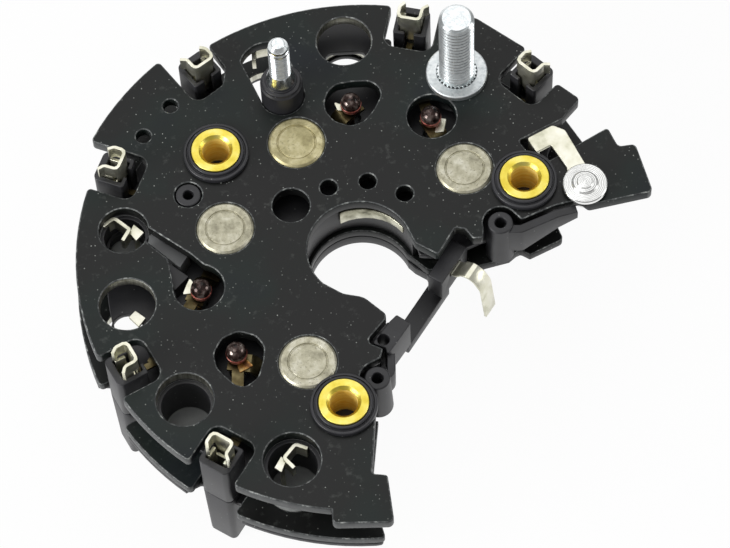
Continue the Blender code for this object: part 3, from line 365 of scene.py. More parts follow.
def drilledBrass():
    # the same brass in the drilled bore, scored round by the drill, made matt, not metal and paler yellow as
    # painted light so that the deep bore shows lit
    made, tree, shader, place = newMaterial("drilledBrassBore", "#F0D070", 0.5)
    flat = addNode(tree, "ShaderNodeMapping", values={"Scale": (0.1, 0.1, 1)}, links={"Vector": place})
    scores = addNode(tree, "ShaderNodeTexNoise", values={"Scale": 1 / 0.4, "Detail": 3.0},
                     links={"Vector": flat})
    tone = addNode(tree, "ShaderNodeValToRGB", {"stops": [(0.3, "#E8C050"), (0.7, "#FAE48C")]},
                   links={"Fac": scores})
    feed(shader, {"Base Color": tone})
    return made


def tinnedBronze(name, dark, middle, light):
    # hot-dipped tin on stamped strip: pale and warm, satin, with soft handling marks
    made, tree, shader, place = newMaterial(name, middle, 0.36, 0.95)
    marks = addNode(tree, "ShaderNodeTexNoise", values={"Scale": 1 / 3.2, "Detail": 3.0},
                    links={"Vector": place})
    tone = addNode(tree, "ShaderNodeValToRGB", {"stops": [(0.3, dark), (0.48, middle), (0.7, light)]},
                   links={"Fac": marks})
    satin = addNode(tree, "ShaderNodeMapRange", values={"To Min": 0.42, "To Max": 0.3},
                    links={"Value": marks})
    ripple = addNode(tree, "ShaderNodeTexNoise", values={"Scale": 1 / 1.4}, links={"Vector": place})
    relief = addNode(tree, "ShaderNodeBump", values={"Distance": 0.01 * mm}, links={"Height": ripple})
    feed(shader, {"Base Color": tone, "Roughness": satin, "Normal": relief})
    return made


def nickelCan(name, dark, middle, light, pit):
    # nickel plate on a pressed copper can: olive and dull, with patches and fine pits left by the press
    made, tree, shader, place = newMaterial(name, middle, 0.46, 0.8)
    patches = addNode(tree, "ShaderNodeTexNoise", values={"Scale": 1 / 2.8, "Detail": 5.0, "Roughness": 0.62},
                      links={"Vector": place})
    tone = addNode(tree, "ShaderNodeValToRGB", {"stops": [(0.32, dark), (0.5, middle), (0.68, light)]},
                   links={"Fac": patches})
    pits = addNode(tree, "ShaderNodeTexNoise", values={"Scale": 1 / 0.5, "Detail": 3.0, "Roughness": 0.6},
                   links={"Vector": place})
    spots = addNode(tree, "ShaderNodeMapRange", values={"From Min": 0.42, "From Max": 0.3, "To Max": 0.7},
                    links={"Value": pits})
    mixed = addNode(tree, "ShaderNodeMix", {"data_type": "RGBA"}, {7: linear(pit)}, {0: spots, 6: tone})
    dull = addNode(tree, "ShaderNodeMapRange", values={"To Min": 0.58, "To Max": 0.38},
                   links={"Value": patches})
    relief = addNode(tree, "ShaderNodeBump", values={"Distance": 0.03 * mm}, links={"Height": pits})
    feed(shader, {"Base Color": mixed.outputs[2], "Roughness": dull, "Normal": relief})
    return made


def brightZinc(name, roughness):
    # bright zinc on cold-headed steel: nearly white metal with a fine spangle
    made, tree, shader, place = newMaterial(name, "#DDE3E4", roughness, 1.0)
    spangle = addNode(tree, "ShaderNodeTexNoise", values={"Scale": 1 / 0.9, "Detail": 4.0, "Roughness": 0.6},
                      links={"Vector": place})
    tone = addNode(tree, "ShaderNodeValToRGB",
                   {"stops": [(0.3, "#CCD2D4"), (0.5, "#E4E9EA"), (0.7, "#F4F7F7")]}, links={"Fac": spangle})
    polish = addNode(tree, "ShaderNodeMapRange",
                     values={"To Min": roughness + 0.06, "To Max": roughness - 0.06},
                     links={"Value": spangle})
    feed(shader, {"Base Color": tone, "Roughness": polish})
    return made


def polishedAluminium(centre):
    # a bright aluminium rivet, its head pressed flat in a ringed die
    made, tree, shader, place = newMaterial("pressedAluminium", "#F0F0EE", 0.26, 1.0)
    middle = (shaftAxis.x / mm + centre[0], shaftAxis.y / mm + centre[1], 0)
    around = addNode(tree, "ShaderNodeMapping", {"vector_type": "TEXTURE"}, {"Location": middle},
                     {"Vector": place})
    # the die's rings are 0.38 mm apart
    rings = addNode(tree, "ShaderNodeTexWave", {"wave_type": "RINGS", "rings_direction": "Z"},
                    {"Scale": 0.5 / 0.6, "Distortion": 1.5, "Detail": 3.0}, {"Vector": around})
    tone = addNode(tree, "ShaderNodeValToRGB",
                   {"stops": [(0.1, "#D6D7D5"), (0.5, "#EFEFED"), (0.9, "#F8F8F6")]}, links={"Fac": rings})
    relief = addNode(tree, "ShaderNodeBump", values={"Distance": 0.03 * mm}, links={"Height": rings})
    feed(shader, {"Base Color": tone, "Normal": relief})
    return made


def glassyBead(name, dark, middle, light, roughness):
    # weld slag and flux frozen into a dark, glassy bead with a red copper cast
    made, tree, shader, place = newMaterial(name, middle, roughness, 0.55)
    swirl = addNode(tree, "ShaderNodeTexNoise", values={"Scale": 1 / 1.3, "Detail": 3.0},
                    links={"Vector": place})
    tone = addNode(tree, "ShaderNodeValToRGB", {"stops": [(0.36, dark), (0.5, middle), (0.68, light)]},
                   links={"Fac": swirl})
    relief = addNode(tree, "ShaderNodeBump", values={"Distance": 0.05 * mm}, links={"Height": swirl})
    feed(shader, {"Base Color": tone, "Normal": relief})
    return made


def pottingEpoxy():
    # the grey epoxy cast round a diode's lead, matt and a little cloudy
    made, tree, shader, place = newMaterial("pottingEpoxy", "#4A4C4C", 0.6)
    cloud = addNode(tree, "ShaderNodeTexNoise", values={"Scale": 1 / 1.2, "Detail": 4.0},
                    links={"Vector": place})
    tone = addNode(tree, "ShaderNodeValToRGB", {"stops": [(0.3, "#3A3C3C"), (0.7, "#5E6060")]},
                   links={"Fac": cloud})
    feed(shader, {"Base Color": tone})
    return made


coat = coatedPlate()
# the rounded edges: grey patches that are partly worn coat and partly painted highlight
coatEdgeWearAndHighlight = edgeWearAndLight("blackDipCoatWornEdge",
                    [(0.36, "#242627"), (0.52, "#4C4F4F"), (0.64, "#979A97"), (0.76, "#CDCFCA")])
# the outer walls: painted light, a lighter grey than the top for the lit sides
coatRimPaintedLight = edgeWearAndLight("blackDipCoatRim", [(0.36, "#2A2C2D"), (0.6, "#3C3F3F"), (0.75, "#5C5F5F")])
wallMetal = punchedWall()
moulding = filledPolyester("mouldedCarrier", "#222224", "#303033", 0.42)
collarPlastic = filledPolyester("mouldedCollar", "#242427", "#313135", 0.36)
# painted shade: the same moulding made darker for the wall inside the shaft hole
shadePlastic = filledPolyester("mouldedCoreSide", "#141416", "#1E1E20", 0.4)
# painted light: a pale grey copy of the moulding for the cups' lit faces
cupPaintedLight = filledPolyester("mouldedCup", "#858786", "#A0A2A0", 0.5)
ribPlastic = filledPolyester("mouldedRib", "#6A6B6C", "#787A7A", 0.55)
tin = tinnedBronze("tinnedStrip", "#C4C3AC", "#E4E2CE", "#F2F0E2")
stainedTin = tinnedBronze("stainedStrip", "#4A4838", "#A8A690", "#DCDAC6")
# painted shade: the tin darkened to dull brown for the phase strips where they lie in shade
shadedStripTin = tinnedBronze("heatStainedStrip", "#3C3420", "#5C5238", "#857A58")
canLooks = [nickelCan("nickelCanOlive", "#A39A72", "#C2B98E", "#D8D0AA", "#8E8664"),
            nickelCan("nickelCanGrey", "#9C9884", "#BFBBA4", "#D8D5C4", "#837E6C")]
zinc = brightZinc("brightZinc", 0.22)
washerZinc = brightZinc("tumbledZinc", 0.46)
# the bore's brass, painted light
boreBrassPaintedLight = drilledBrass()
bead = glassyBead("weldBead", "#1A1412", "#453430", "#8A7E78", 0.12)
copper = glassyBead("weldCopperRing", "#6E342C", "#A8584C", "#C88C80", 0.3)
leadMetal = glassyBead("weldNeck", "#6A4420", "#B07C3C", "#D8B878", 0.3)
epoxy = pottingEpoxy()
print("materials made")

# the plates

plate = {"rim": 63.2, "shoulder": 67.0, "lowerRim": 64.0, "crown": 62.5, "shaft": 11.66, "edge": 0.32,
         "lowerEdge": 0.28}
tower = {"circle": 58.5, "halfWidth": 3.8, "out": 3.9, "inside": 3.4, "sideWall": 1.15, "frontWall": 1.7,
         "backWall": 0.85, "slot": 2.2, "rise": 1.4, "draft": 0.9}
towers = (125.7, 75.4, 45.3, 157.2, 206.8, 236.5)  # degrees about the shaft
# notches at the towers, rimEnd the degrees from a tower to the rim's end, press round pressed-in parts
gaps = {"notchSide": 1.8, "notchBack": 2.7, "notchRadius": 2.6, "boss": 0.9, "rimEnd": 8.5, "press": 0.05,
        "mould": 0.6}
# the unused diode seats: two show the moulding's floor, one runs into the field stud's hole, two hold a cup
topSeat, leftSeat, studSeat, lowerStudSeat = (-1.0, 53.55), (-51.9, -10.6), (-18.7, 48.0), (-19.3, 48.4)
cuppedSeats = ((-39.85, -34.55), (-17.1, -50.3))
slottedCup = {"centre": (-52.4, 7.8), "radius": 5.5, "floor": plateTop - 13.2}
seatRadius = 6.25
cup = {"radius": 6.4, "wall": 1.0, "floor": lowerBottom + 0.6}
bossRight, bossLeft, bossRadius = (31.6, 4.5), (2.3, -32.0), 3.0
diode = {"radius": 6.385, "base": 3.6, "body": 5.2, "lead": 0.6, "dish": 4.1}
diodePairs = (((-12.9, 27.7), (-0.2, 37.9)), ((24.5, 18.7), (17.9, 32.6)),
              ((-29.7, 6.9), (-36.5, -7.3)), ((-12.7, -27.2), (-28.1, -24.5)))
bush = {"bore": 3.1, "radius": 4.3, "flange": 5.54, "thick": 1.1, "rise": 2.2}
collar = {"radius": 7.4, "step": 6.35, "tube": 5.2, "rise": 1.3}
bushes = ((-31.1, 25.8), (37.6, 14.5), (-5.3, -38.25))
fieldStud = {"centre": (-15.6, 40.1), "radius": 2.43, "root": 2.05, "pitch": 0.8, "foot": 3.3,
             "sleeve": 4.8, "sleeveRise": 7.5, "hole": 4.95}
locatingPost = {"centre": (-37.7, 15.9), "radius": 2.8}
rivet = {"centre": (51.0, 12.3), "head": 5.15, "shank": 2.0}
# the upper plate's plain holes, and its windows over the first and last lower diodes
plainHoles = (((-6.2, 15.8), 1.93), ((2.6, 16.8), 1.93), ((10.7, 13.2), 1.93), ((-14.8, 11.8), 4.18),
              (locatingPost["centre"], 3.1), ((-41.1, 39.05), 1.7), ((-47.4, 31.6), 1.7))
windows = (((-6.2, 37.5), (-5.3, 40.4), (-3.4, 42.2), (0.3, 42.7), (4.4, 42.6), (6.4, 40.8), (6.7, 38.7),
            (4.9, 35.2), (2.6, 32.4), (-0.5, 31.3), (-4.1, 32.8), (-5.8, 35.3)),
           ((-33.2, -23.9), (-31.3, -20.4), (-27.7, -18.8), (-23.9, -20.2), (-22.1, -22.8), (-22.5, -26.1),
            (-23.7, -30.2), (-26.5, -32.3), (-28.7, -31.7), (-30.8, -29.5), (-32.6, -27.3)))
roundWindow = 5.55


def towerPoint(angle, across, out):
    x, y = polar(tower["circle"] + out, angle)
    return polar(across, angle + 90, (x, y))


def notch(angle, startOut, endOut, trimmed=False):
    half = tower["halfWidth"] + gaps["notchSide"]
    floor = -tower["inside"] - gaps["notchBack"]
    bend = gaps["notchRadius"]
    first = [(-half, floor, bend)]
    if trimmed:
        first = [(-half + 0.5, floor + 3.4, 1.5), (-half + 3.6, floor + 0.2, 1.5)]
    local = [(-half, startOut, 1.0), *first, (half, floor, bend), (half, endOut, 1.0)]
    return [(*towerPoint(angle, across, out), radius) for across, out, radius in local]


def rimNotch(angle, before, after, trimmed=False):
    half = tower["halfWidth"] + gaps["notchSide"]
    lips = [math.sqrt(radius ** 2 - half ** 2) - tower["circle"] for radius in (before, after)]
    return notch(angle, *lips, trimmed)


def rimArc(radius, start, end):
    return arc(radius, start + gaps["rimEnd"], end - gaps["rimEnd"])


def leftRim(radius, crown):
    # crown is the rim between the two top towers
    upperLeft, top, _, left, lowLeft, bottom = towers
    shoulder = plate["shoulder"]
    return (rimNotch(top, plate["rim"], crown) + rimArc(crown, top, upperLeft)
            + rimNotch(upperLeft, crown, shoulder, True) + rimArc(shoulder, upperLeft, left)
            + rimNotch(left, shoulder, radius) + rimArc(radius, left, lowLeft)
            + rimNotch(lowLeft, radius, radius) + rimArc(radius, lowLeft, bottom)
            + rimNotch(bottom, radius, radius))


def innerEdge():
    return (arc(bossRadius + gaps["boss"], -95, -245, bossLeft, 10)
            + [(3.2, -27.2, 0.8), (3.9, -24.9, 0.5), (0.2, -23.1, 1.2), (5.5, -17.0, 1.5)]
            + [(0.3, -12.0, 4), (-4.2, -10.9, 3)] + arc(plate["shaft"], 224, 26))


def upperOutline():
    tail = [(36.3, 4.9, 0.8), (44.0, 8.0, 3), (49.9, 9.2, 1.5), (51.5, 7.6, 1.2), (66.15, 10.2, 1.2),
            (63.2, 22.6, 1.2), (59.3, 22.2, 1.2), (57.3, 27.2, 0.8), (43.3, 19.4, 1.2), (39.2, 21.6, 0.8),
            (37.1, 25.0, 0.6), (47.2, 29.9, 0.8), (51.8, 34.9, 1.2)]
    foot = [(-9.1, -62.4, 0.8), (-9.1, -65.8, 1.2), (4.2, -66.3, 1.3), (3.3, -55.1, 0.8), (0.0, -54.6, 0.8)]
    return rounded([(12.3, 0.6, 2), (17.3, -2.7, 0.8), (21.4, 3.8, 0.8), (23.6, 3.4, 0.8), (25.2, 0.9, 0.6),
                    (27.5, 0.9, 0.6)]
                   + arc(bossRadius + gaps["boss"], 195, 45, bossRight, 10) + tail
                   + notch(towers[2], 2.4, 4.8) + [(29.6, 57.8, 3)] + leftRim(plate["rim"], plate["rim"])
                   + rimArc(plate["rim"], towers[5], 270) + foot + innerEdge())


def lowerOutline():
    right = [(15.0, 0.8, 1), (23.4, 0.4, 1), (27.4, 1.2, 2), (33.6, 2.6, 1), (36.0, 4.6, 1.2),
             (38.3, 3.1, 0.5), (46.2, 6.7, 1.2), (44.4, 12.0, 3), (45.4, 23.0, 4), (54.2, 28.2, 1.2),
             (48.4, 38.6, 0.6)]
    return rounded(right + notch(towers[2], 2.4, 4.8) + [(29.6, 57.8, 3)]
                   + leftRim(plate["lowerRim"], plate["crown"])
                   + arc(plate["lowerRim"], towers[5] + gaps["rimEnd"], 270)
                   + [(2.2, -63.9, 1.2), (-0.4, -53.0, 2)] + innerEdge())


def platePiece(name, mesh, node, bareSeats):
    # the rounded edges are partly worn and partly painted highlight, the outer rim is painted lighter as
    # painted light, and the coat is missing from the walls of these seats
    obj = piece(name, placed(mesh), node, [coat, wallMetal, coatEdgeWearAndHighlight, coatRimPaintedLight])
    seatWall, rubbedEdgeAndHighlight, litOuterWall = 1, 2, 3
    for face in obj.data.polygons:
        spot = (face.center - shaftAxis) / mm
        close = any(math.dist(spot[:2], centre) < seatRadius + 0.12 for centre in bareSeats)
        if close and abs(face.normal.z) < 0.3:
            face.material_index = seatWall
        elif 0.3 < abs(face.normal.z) < 0.97:
            face.material_index = rubbedEdgeAndHighlight
        elif abs(face.normal.z) < 0.3 and spot.xy.length > 60:
            face.material_index = litOuterWall


def seatIntoStudHole():
    # the top left seat and the field stud's clearance hole, cut into one egg-shaped opening
    points = arc(seatRadius, 58, 164.8, studSeat) + arc(fieldStud["hole"], 190.6, 392.2, fieldStud["centre"])
    return [point[:2] for point in points]


def upperPlate():
    loops = [upperOutline(), circle(diodePairs[1][1], roundWindow)]
    loops += [rounded([(x, y, 3) for x, y in window]) for window in windows]
    loops += [circle(spot, seatRadius) for spot in (topSeat, leftSeat, *cuppedSeats)]
    loops += [circle(spot, diode["radius"] + gaps["press"]) for spot, _ in diodePairs]
    loops += [circle(spot, collar["tube"] + 0.3) for spot in bushes]
    loops += [circle(spot, radius, 40) for spot, radius in plainHoles]
    loops += [keyhole(), seatIntoStudHole()]
    platePiece("upperPlate", slab(loops, plateBottom, plateTop, plate["edge"]), "positive_heat_sink",
               (topSeat, leftSeat, cuppedSeats[0]))


def keyhole():
    # the left cup's opening and the third diode's window, joined by a slot
    cupSide, window = slottedCup["centre"], diodePairs[2][1]
    around = arc(slottedCup["radius"], 5, 329, cupSide, 6)
    opening = arc(5.6, 172, 436, (window[0] + 0.5, window[1] - 0.1), 6)
    return rounded([(-47.4, 4.6, 0.4), (-42.8, 0.3, 0.8), (-42.4, -1.2, 0.8), *opening,
                    (-37.7, 1.1, 0.8), *around])


def lowerPlate():
    loops = [lowerOutline(), circle(slottedCup["centre"], slottedCup["radius"] + gaps["mould"])]
    loops += [circle(spot, seatRadius) for spot in (topSeat, leftSeat, *cuppedSeats, lowerStudSeat)]
    loops += [circle(spot, diode["radius"] + gaps["press"]) for _, spot in diodePairs]
    loops += [circle(spot, bush["radius"] + gaps["press"]) for spot in bushes]
    platePiece("lowerPlate", slab(loops, lowerBottom, lowerTop, plate["lowerEdge"]), "negative_heat_sink",
               (topSeat, leftSeat, lowerStudSeat, cuppedSeats[0]))


upperPlate()
lowerPlate()
print("plates made")

# the carriers


def carrierPiece(name, mesh, node, look=moulding):
    return piece(name, mesh, node, look)


def towerCorners():
    # the two back corners and then the two front ones, with their bends
    half, back, front = tower["halfWidth"], -tower["inside"], tower["out"]
    return [(-half, back, 0.6), (half, back, 0.6), (half, front, 1.4), (-half, front, 1.4)]


def cavityReach():
    # how far the cavity goes to the sides, the back and the front
    return (tower["halfWidth"] - tower["sideWall"], -tower["inside"] + tower["backWall"],
            tower["out"] - tower["frontWall"])


def atTower(mesh, angle):
    return placed(mesh, polar(tower["circle"], angle), turn=angle - 90)


def towerTops():
    # the cavity opens to the shaft's side through a slot
    side, back, front = cavityReach()
    half = tower["slot"] / 2
    lowLeft, lowRight, topRight, topLeft = towerCorners()
    outline = rounded([(half, -tower["inside"], 0.25), lowRight, topRight, topLeft, lowLeft,
                       (-half, -tower["inside"], 0.25), (-half, back, 0.2), (-side, back, 0.3),
                       (-side, front, 0.3), (side, front, 0.3), (side, back, 0.3), (half, back, 0.2)])
    for i, angle in enumerate(towers, 1):
        mesh = slab([outline], seam, plateTop + tower["rise"], 0.22)
        carrierPiece(f"wireTower{i}", atTower(mesh, angle), "upper_carrier")


def chimneys():
    side, back, front = cavityReach()
    outlines = [rounded(towerCorners()), rectangle(-side, back, side, front, 0.3)]
    for i, angle in enumerate(towers, 1):
        mesh = slab(outlines, 0, lowerTop, 0.18)
        for vertex in mesh.vertices:
            # drawn in towards the foot, as the mould needs
            share = 1 - (1 - tower["draft"]) * (1 - vertex.co.z / mm / lowerTop)
            vertex.co.x *= share
            vertex.co.y *= share
        carrierPiece(f"wireChimney{i}", atTower(mesh, angle), "lower_carrier")


def upperCarrier():
    # the floor runs out under the top seat, stops short of the plate on the left, and clears the stud seat
    cove = arc(3.6, 392, 191, fieldStud["centre"], 8) + arc(seatRadius + 0.1, 165, 143, studSeat)
    edge = rounded([(19.0, 1.0, 1), (27.4, 4.4, 2), (36.0, 6.4, 1), (43.8, 9.0, 1.5), (43.8, 26.0, 4),
                    (47.0, 32.4, 1)] + arc(57.0, 37, 81) + arc(63.9, 84, 103) + [(-15.4, 53.3, 0.5)] + cove
                   + arc(57.0, 115, 262)
                   + [(-1.6, -53.0, 1), (0.6, -36.0, 2), (3.6, -32.0, 1), (3.2, -24.0, 1), (4.2, -18.5, 1),
                      (-1.0, -13.4, 1)] + arc(plate["shaft"] + 1.8, 225, 8))
    holes = [circle(spot, 2.0, 32) for _, spot in diodePairs]  # for the lower diodes' leads
    # the top seat's floor is closed but for a slot, the left one's but for a round hole
    holes += [rectangle(-5.5, 51.6, 3.9, 55.7, 1.9), circle((-52.6, -12.2), 3.4, 48)]
    holes.append(circle(slottedCup["centre"], slottedCup["radius"] - 1.2))
    holes += [circle(spot, cup["radius"] - cup["wall"] + 0.2) for spot in cuppedSeats]
    carrierPiece("carrierFloor", placed(slab([edge] + holes, webBottom, webTop)), "upper_carrier")
    towerTops()
    for i, spot in enumerate((*cuppedSeats, slottedCup["centre"]), 1):
        spareCup(i, spot)
    for i, spot in enumerate(bushes, 1):
        profile = [(4.6, seam, 0), (4.6, underPlate, 0), (6.2, underPlate, 0.2), (6.2, seam, 0.2)]
        carrierPiece(f"bushTube{i}", placed(spun(profile), spot), "upper_carrier")
    for i, spot in enumerate((bossRight, bossLeft), 1):
        floor = plateTop - 9  # the bottom of the screw's hole
        profile = [(0, floor, 0), (1.3, floor, 0.2), (1.3, plateTop, 0.25),
                   (bossRadius - 0.2, plateTop, 0.35), (bossRadius + 0.3, seam, 0.2), (0, seam, 0)]
        carrierPiece(f"screwBoss{i}", placed(spun(profile, 48, False), spot), "upper_carrier")
    post = locatingPost["radius"]
    profile = [(0, webTop + 1, 0), (1.2, webTop + 1, 0.1), (1.2, plateTop, 0.2), (post, plateTop, 0.3),
               (post, webBottom + 0.4, 0.1), (0, webBottom + 0.4, 0)]
    carrierPiece("locatingPost", placed(spun(profile, 48, False), locatingPost["centre"]), "upper_carrier")
    inner = plate["shaft"] + 0.95
    wall = [point[:2] for point in arc(inner, 20, 222) + arc(inner + 1.6, 222, 20)]
    # the shaft wall is painted darker as painted shade
    carrierPiece("shaftWall", placed(slab([wall], seam, underPlate, 0.15)), "upper_carrier", shadePlastic)


def spareCup(i, spot):
    # a cup under an unused seat: the round ones reach down into the lower plate's hole
    deep = i < 3
    outer = cup["radius"] if deep else slottedCup["radius"] + 0.1
    inner = outer - cup["wall"]
    low = cup["floor"] if deep else slottedCup["floor"]
    foot = [(outer, seam, 0.1), (seatRadius - 0.3, seam, 0), (seatRadius - 0.3, low - 0.5, 0.2)]
    profile = [(0, low, 0), (inner, low, 0.3), (inner, underPlate, 0.15), (outer, underPlate, 0.15),
               *(foot if deep else [(outer, low - 0.5, 0.2)]), (0, low - 0.5, 0)]
    obj = carrierPiece(f"spareCup{i}", placed(spun(profile, closed=False), spot), "upper_carrier",
                       [moulding, cupPaintedLight])
    for face in obj.data.polygons:
        if distance(face, spot) > outer - 0.5 or face.center.z < (low + 0.5) * mm:
            face.material_index = 1  # pale grey outside and on its floor, painted light for its lit faces


def keyholeBars():
    # two ribs of the moulding lie in the slot between the left cup and the third diode's window
    upper = rounded([(-46.3, 8.5, 0.2), (-38.0, 2.9, 0.2), (-40.2, -0.6, 0.2), (-47.7, 6.6, 0.2)])
    wedge = rounded([(-42.7, 1.2, 0.2), (-38.4, -2.5, 0.2), (-41.6, -5.8, 0.2), (-42.9, -3.0, 0.2)])
    for name, outline, top, look in (("slotRib", upper, plateTop - 3.3, ribPlastic),
                                     ("slotWedge", wedge, plateTop - 4.2, moulding)):
        carrierPiece(name, placed(slab([outline], webTop - 0.2, top, 0.1)), "upper_carrier", look)


def edgeWalls():
    right = band([(32.5, 3.2, 0), (36.2, 3.0, 1), (44.4, 6.3, 3), (48.8, 7.3, 0)], 2.0)
    left = band([(5.6, -25.2, 0), (5.4, -29.6, 1.5), (3.4, -31.5, 0)], 1.8)
    arm = rounded([(5.7, -17.9, 0.4), (7.3, -16.4, 0.4), (10.3, -18.7, 0.4), (7.4, -22.7, 0.4),
                   (4.8, -26.2, 0.4), (4.4, -24.3, 0.4), (1.5, -23.1, 0.6)])
    wall = slab([right], webBottom + 0.5, plateTop - 0.6)
    for vertex in wall.vertices:
        # its lower edge climbs towards the free end
        if vertex.co.z < (plateTop - 5) * mm:
            vertex.co.z += 6.0 * mm * min(max((vertex.co.x / mm - 38) / 10.8, 0), 1)
    carrierPiece("rightWall", placed(wall), "upper_carrier")
    carrierPiece("leftWall", placed(slab([left], webBottom + 0.5, plateTop - 2.2)), "upper_carrier")
    screwHole = circle((4.1, -22.3), 1.35, 32)
    carrierPiece("leftArm", placed(slab([arm, screwHole], seam + 2.4, plateTop - 1.0)), "upper_carrier")


bar = {"angle": -34.9, "reach": 13.2, "width": 4.4, "deep": 3.2}
# the flange's rim ends towerGap degrees from a tower, and passes behind it at another radius
flange = {"towerGap": 6.5, "behind": 60.5, "corner": 5}


def tongueBlock():
    # the block that the contact tongue comes out of has a slot in its front: the slab's x, y and z become
    # the block's y, z and x
    front = [rectangle(4.6, seam, 15.4, 29.0, 0.4), rectangle(7.9, 26.6, 12.5, 27.8, 0.1)]
    mesh = slab(front, bar["reach"] + 1.6, 18.6, 0.2)
    mesh.transform(Matrix(((0, 0, 1, 0), (1, 0, 0, 0), (0, 1, 0, 0), (0, 0, 0, 1))))
    carrierPiece("tongueBlock", placed(mesh, turn=bar["angle"]), "upper_carrier")


def behindTower(angle):
    return [(*polar(flange["behind"], angle + side), 1) for side in (-flange["corner"], flange["corner"])]


def lowerCarrier():
    rim = behindTower(towers[1])
    starts, ends = (towers[1], towers[0], *towers[3:5]), (towers[0], *towers[3:6])
    for start, end, radius in zip(starts, ends, (plate["crown"], *[plate["lowerRim"]] * 3)):
        rim += arc(radius, start + flange["towerGap"], end - flange["towerGap"]) + behindTower(end)
    holes = [circle(topSeat, 5.8, 48), circle(lowerStudSeat, seatRadius + 0.4)]
    openSeats = (leftSeat, *cuppedSeats, slottedCup["centre"])
    holes += [circle(spot, seatRadius + gaps["mould"]) for spot in openSeats]
    holes += [circle(spot, diode["radius"] + gaps["mould"]) for _, spot in diodePairs]
    holes += [circle(spot, bush["radius"] + 0.3) for spot in bushes]
    edge = rounded([(27.4, 2.4, 2), (33.4, 4.0, 1), (43.6, 8.4, 1.2), (43.8, 26.0, 4), (49.6, 34.6, 1),
                    (38.8, 50.9, 2), (29.0, 57.2, 3)] + rim
                   + arc(plate["lowerRim"], towers[5] + flange["towerGap"], 270)
                   + [(1.8, -63.8, 1.2), (-0.8, -53.0, 2), (1.2, -36.6, 2), (-3.6, -31.6, 3), (0.6, -26.0, 1),
                      (5.0, -21.5, 1), (8.8, -17.6, 1), (6.6, -14.6, 1)]
                   + arc(plate["shaft"] + 1.2, 290, 15))
    # the ring round the shaft, the bar that closes it, and the sweep from one into the other
    start, end = 22, bar["angle"] + 333
    outer, inner = plate["shaft"] + 2.3, plate["shaft"] + 0.04
    ring = [point[:2] for point in arc(outer, start, end) + arc(inner, end, start)]
    across = rectangle(bar["reach"], -8.4, bar["reach"] + bar["width"], 9.4, 0.4)
    sweep = rounded([(9.8, 6.9, 0), (10.9, 4.4, 0), (12.3, 2.9, 1), (14.8, 1.2, 0.6), (15.6, -0.6, 0.4),
                     (17.8, -2.6, 0), (19.4, -1.0, 0), (18.5, 3.5, 1), (14.5, 7.5, 1), (11.6, 9.2, 0)])
    low = flangeTop - bar["deep"]
    for name, loops, bottom, rounding, turn in (("carrierFlange", [edge] + holes, flangeBottom, 0.25, 0),
                                                ("shaftRing", [ring], low, 0.2, 0),
                                                ("closingBar", [across], low, 0.2, bar["angle"]),
                                                ("ringSweep", [sweep], low, 0.2, 0)):
        carrierPiece(name, placed(slab(loops, bottom, flangeTop, rounding), turn=turn), "lower_carrier")
    chimneys()


upperCarrier()
keyholeBars()
edgeWalls()
tongueBlock()
lowerCarrier()
print("carriers made")

# diodes, beads and strips

canRaise = 0.3  # the diodes stand a little proud of the plate
beadLeans = ((0, 0), (-0.2, 0.8), (0.9, 0), (-0.2, 1.2))  # and the lower ones' leads are bent a little


def tinPiece(name, mesh, node, look=tin):
    return piece(name, mesh, node, look)


def diodes():
    radius, base, body, lead, dish = (diode[part] for part in ("radius", "base", "body", "lead", "dish"))
    can = [(0, -0.12, 0), (dish, -0.08, 0.2), (dish + 0.12, -0.3, 0.05), (dish + 0.3, -0.3, 0.05),
           (dish + 0.42, 0, 0.1), (radius - 0.5, 0, 0.15), (radius, -0.5, 0.15), (radius, -base, 0.3),
           (body, -base, 0.1), (body - 0.2, -base - 0.9, 0.2), (0, -base - 0.9, 0)]
    fill = [(0, -base - 0.85, 0), (body - 0.5, -base - 0.85, 0.1), (body - 0.7, -base - 1.5, 0.3),
            (1.5, -base - 2.3, 0.6), (lead + 0.1, -base - 2.5, 0), (0, -base - 2.5, 0)]
    for i, (upper, lower) in enumerate(diodePairs, 1):
        kinds = (("positive", upper, plateTop + canRaise, 0, plateTop - webTop - 1.1),
                 ("negative", lower, lowerBottom, 180, plateBottom - 0.7 - lowerBottom))
        for kind, spot, level, tilt, length in kinds:
            wire = [(0, -base - 2.4, 0), (lead, -base - 2.4, 0), (lead, -length, 0.15), (0, -length, 0)]
            for part, profile, steps, look in (("", can, 96, canLooks[min(i - 1, 1)]),
                                               ("Fill", fill, 48, epoxy), ("Lead", wire, 24, leadMetal)):
                mesh = placed(spun(profile, steps, False), spot, level, tilt=tilt)
                piece(f"{kind}Diode{part}{i}", mesh, f"{kind}_diode_{i}", look)


def beads():
    # a glassy drop on a collar of red copper
    for i, ((_, end), lean) in enumerate(zip(diodePairs, beadLeans), 1):
        spot = (end[0] + lean[0], end[1] + lean[1])
        node = f"weld_bead_{i}"
        low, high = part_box(node)
        radius = (high.x - low.x) / 2 / mm
        middle = (low.z + high.z) / 2 / mm
        drop = [(radius * math.sin(math.radians(a)), middle + radius * math.cos(math.radians(a)), 0)
                for a in range(0, 121, 8)]
        drop.append((0, middle - radius * 0.5, 0))
        piece(f"weldBead{i}", placed(spun(drop, 40, False), spot), node, bead)
        ring = [(radius * 0.5, middle - radius * 0.2, 0), (radius * 1.06, middle - radius * 0.2, 0.2),
                (radius * 1.02, middle - radius * 0.72, 0.25), (radius * 0.5, middle - radius * 0.95, 0)]
        piece(f"beadCollar{i}", placed(spun(ring, 40), spot), node, copper)


hook = {"thick": 0.85, "deep": 4.0}
